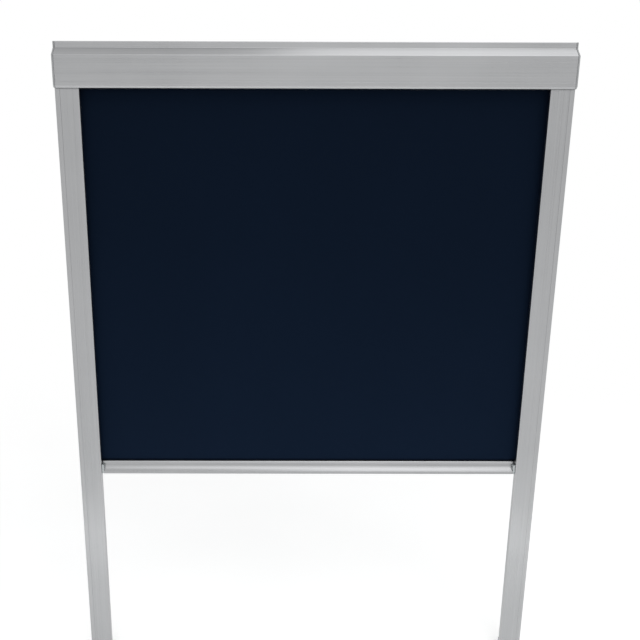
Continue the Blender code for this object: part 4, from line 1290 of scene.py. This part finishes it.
# Solved from the rails' edges and the cloth's top edge: tilt, roll and yaw are in degrees
CAMERA_PLACE = (-0.0523, -0.8017, -0.1502)
CAMERA_TURNS = (12.656, -0.149, -0.095)
CAMERA_SENSOR = 36
CAMERA_LENS = 36.05
CAMERA_SHIFT = (0.0778, 0.0008)
NEAR_CLIP = 0.01


def mixed_shaders(tree, share, first, second):
    inputs = {0: share, 1: first.outputs[0], 2: second.outputs[0]}
    return node(tree, "MixShader", inputs)


def make_floor():
    """A pale floor, which camera, mirror and glass rays see as white with the shadow on it."""
    bm = bmesh.new()
    bmesh.ops.create_circle(bm, cap_ends=True, segments=FLOOR_SIDES, radius=FLOOR_RADIUS)
    floor = mesh_object("floor", bm)
    floor.location = (0, 0, -BLIND_HEIGHT)
    made, tree, shader, where = blank("pale_floor", Roughness=0.9, Specular_IOR_Level=0.1)
    grain = noise(tree, where, 3, 5)
    tree.links.new(tint(tree, grain, FLOOR_PALE), shader.inputs["Base Color"])
    glow = node(tree, "Emission", {"Color": WHITE, "Strength": FLOOR_LIFT})
    near = node(tree, "AddShader", {0: shader.outputs[0], 1: glow.outputs[0]})
    far = node(tree, "Emission", {"Color": WHITE})
    reach = node(tree, "VectorMath", {0: where}, operation="LENGTH").outputs["Value"]
    inputs = {0: reach, 1: FLOOR_NEAR, 2: FLOOR_FAR}
    fade = node(tree, "MapRange", inputs, interpolation_type="SMOOTHSTEP").outputs[0]
    shown = mixed_shaders(tree, fade, near, far)
    mixed = mixed_shaders(tree, seen_rays(tree), shader, shown)
    tree.links.new(mixed.outputs[0], tree.nodes["Material Output"].inputs["Surface"])
    floor.data.materials.append(made)


def seen_rays(tree):
    """1 for camera, glossy and transmission rays, and 0 for the rest."""
    path = node(tree, "LightPath")
    total = path.outputs["Is Camera Ray"]
    for name in ("Is Glossy Ray", "Is Transmission Ray"):
        total = maths(tree, "MAXIMUM", total, path.outputs[name])
    return total


def make_world():
    """A soft even room, which the camera and the metal see as a white backdrop."""
    world = bpy.data.worlds.new("studio")
    bpy.context.scene.world = world
    world.use_nodes = True
    tree = world.node_tree
    room = tree.nodes["Background"]
    room.inputs["Color"].default_value = ROOM_COLOUR
    room.inputs["Strength"].default_value = ROOM_LIGHT
    way = node(tree, "SeparateXYZ", {0: node(tree, "TexCoord").outputs["Generated"]})
    level = node(tree, "ValToRGB", {0: way.outputs["Z"]})
    ramp = level.color_ramp
    ramp.interpolation = "EASE"
    for stop, (height, share) in enumerate(ROOM_LEVELS):
        if stop > 1:
            ramp.elements.new(height)
        ramp.elements[stop].position = height
        ramp.elements[stop].color = (share, share, share, 1)
    camera_ray = node(tree, "LightPath").outputs["Is Camera Ray"]
    strength = maths(tree, "MAXIMUM", level.outputs[0], camera_ray)
    backdrop = node(tree, "Background", {"Color": WHITE, "Strength": strength})
    mixed = mixed_shaders(tree, seen_rays(tree), room, backdrop)
    tree.links.new(mixed.outputs[0], tree.nodes["World Output"].inputs["Surface"])


def add_lamp(name, place, target, size, watts, mirrored_too):
    lamp = bpy.data.lights.new(name, "AREA")
    lamp.shape = "RECTANGLE"
    lamp.size, lamp.size_y = size
    lamp.energy = watts
    obj = bpy.data.objects.new(name, lamp)
    obj.visible_glossy = mirrored_too
    bpy.context.scene.collection.objects.link(obj)
    obj.location = place
    way = Vector(target) - Vector(place)
    obj.rotation_euler = way.to_track_quat("-Z", "Y").to_euler()


def add_camera():
    """The photograph's view."""
    camera = bpy.data.cameras.new("camera")
    camera.sensor_width = CAMERA_SENSOR
    camera.lens = CAMERA_LENS
    camera.shift_x, camera.shift_y = CAMERA_SHIFT
    camera.clip_start = NEAR_CLIP
    obj = bpy.data.objects.new("camera", camera)
    bpy.context.scene.collection.objects.link(obj)
    tilt, roll, yaw = (math.radians(angle) for angle in CAMERA_TURNS)
    turn = Matrix.Rotation(yaw, 3, "Z")
    right = turn @ Vector((1, 0, 0))
    forward = turn @ Vector((0, math.cos(tilt), -math.sin(tilt)))
    down = turn @ Vector((0, -math.sin(tilt), -math.cos(tilt)))
    across = math.cos(roll) * right + math.sin(roll) * down
    downward = -math.sin(roll) * right + math.cos(roll) * down
    axes = Matrix((across, -downward, -forward)).transposed()
    obj.matrix_world = Matrix.Translation(CAMERA_PLACE) @ axes.to_4x4()
    bpy.context.scene.camera = obj


make_floor()
make_world()
for lamp_settings in LAMPS:
    add_lamp(*lamp_settings)
add_camera()
bpy.context.scene.view_settings.view_transform = "Standard"
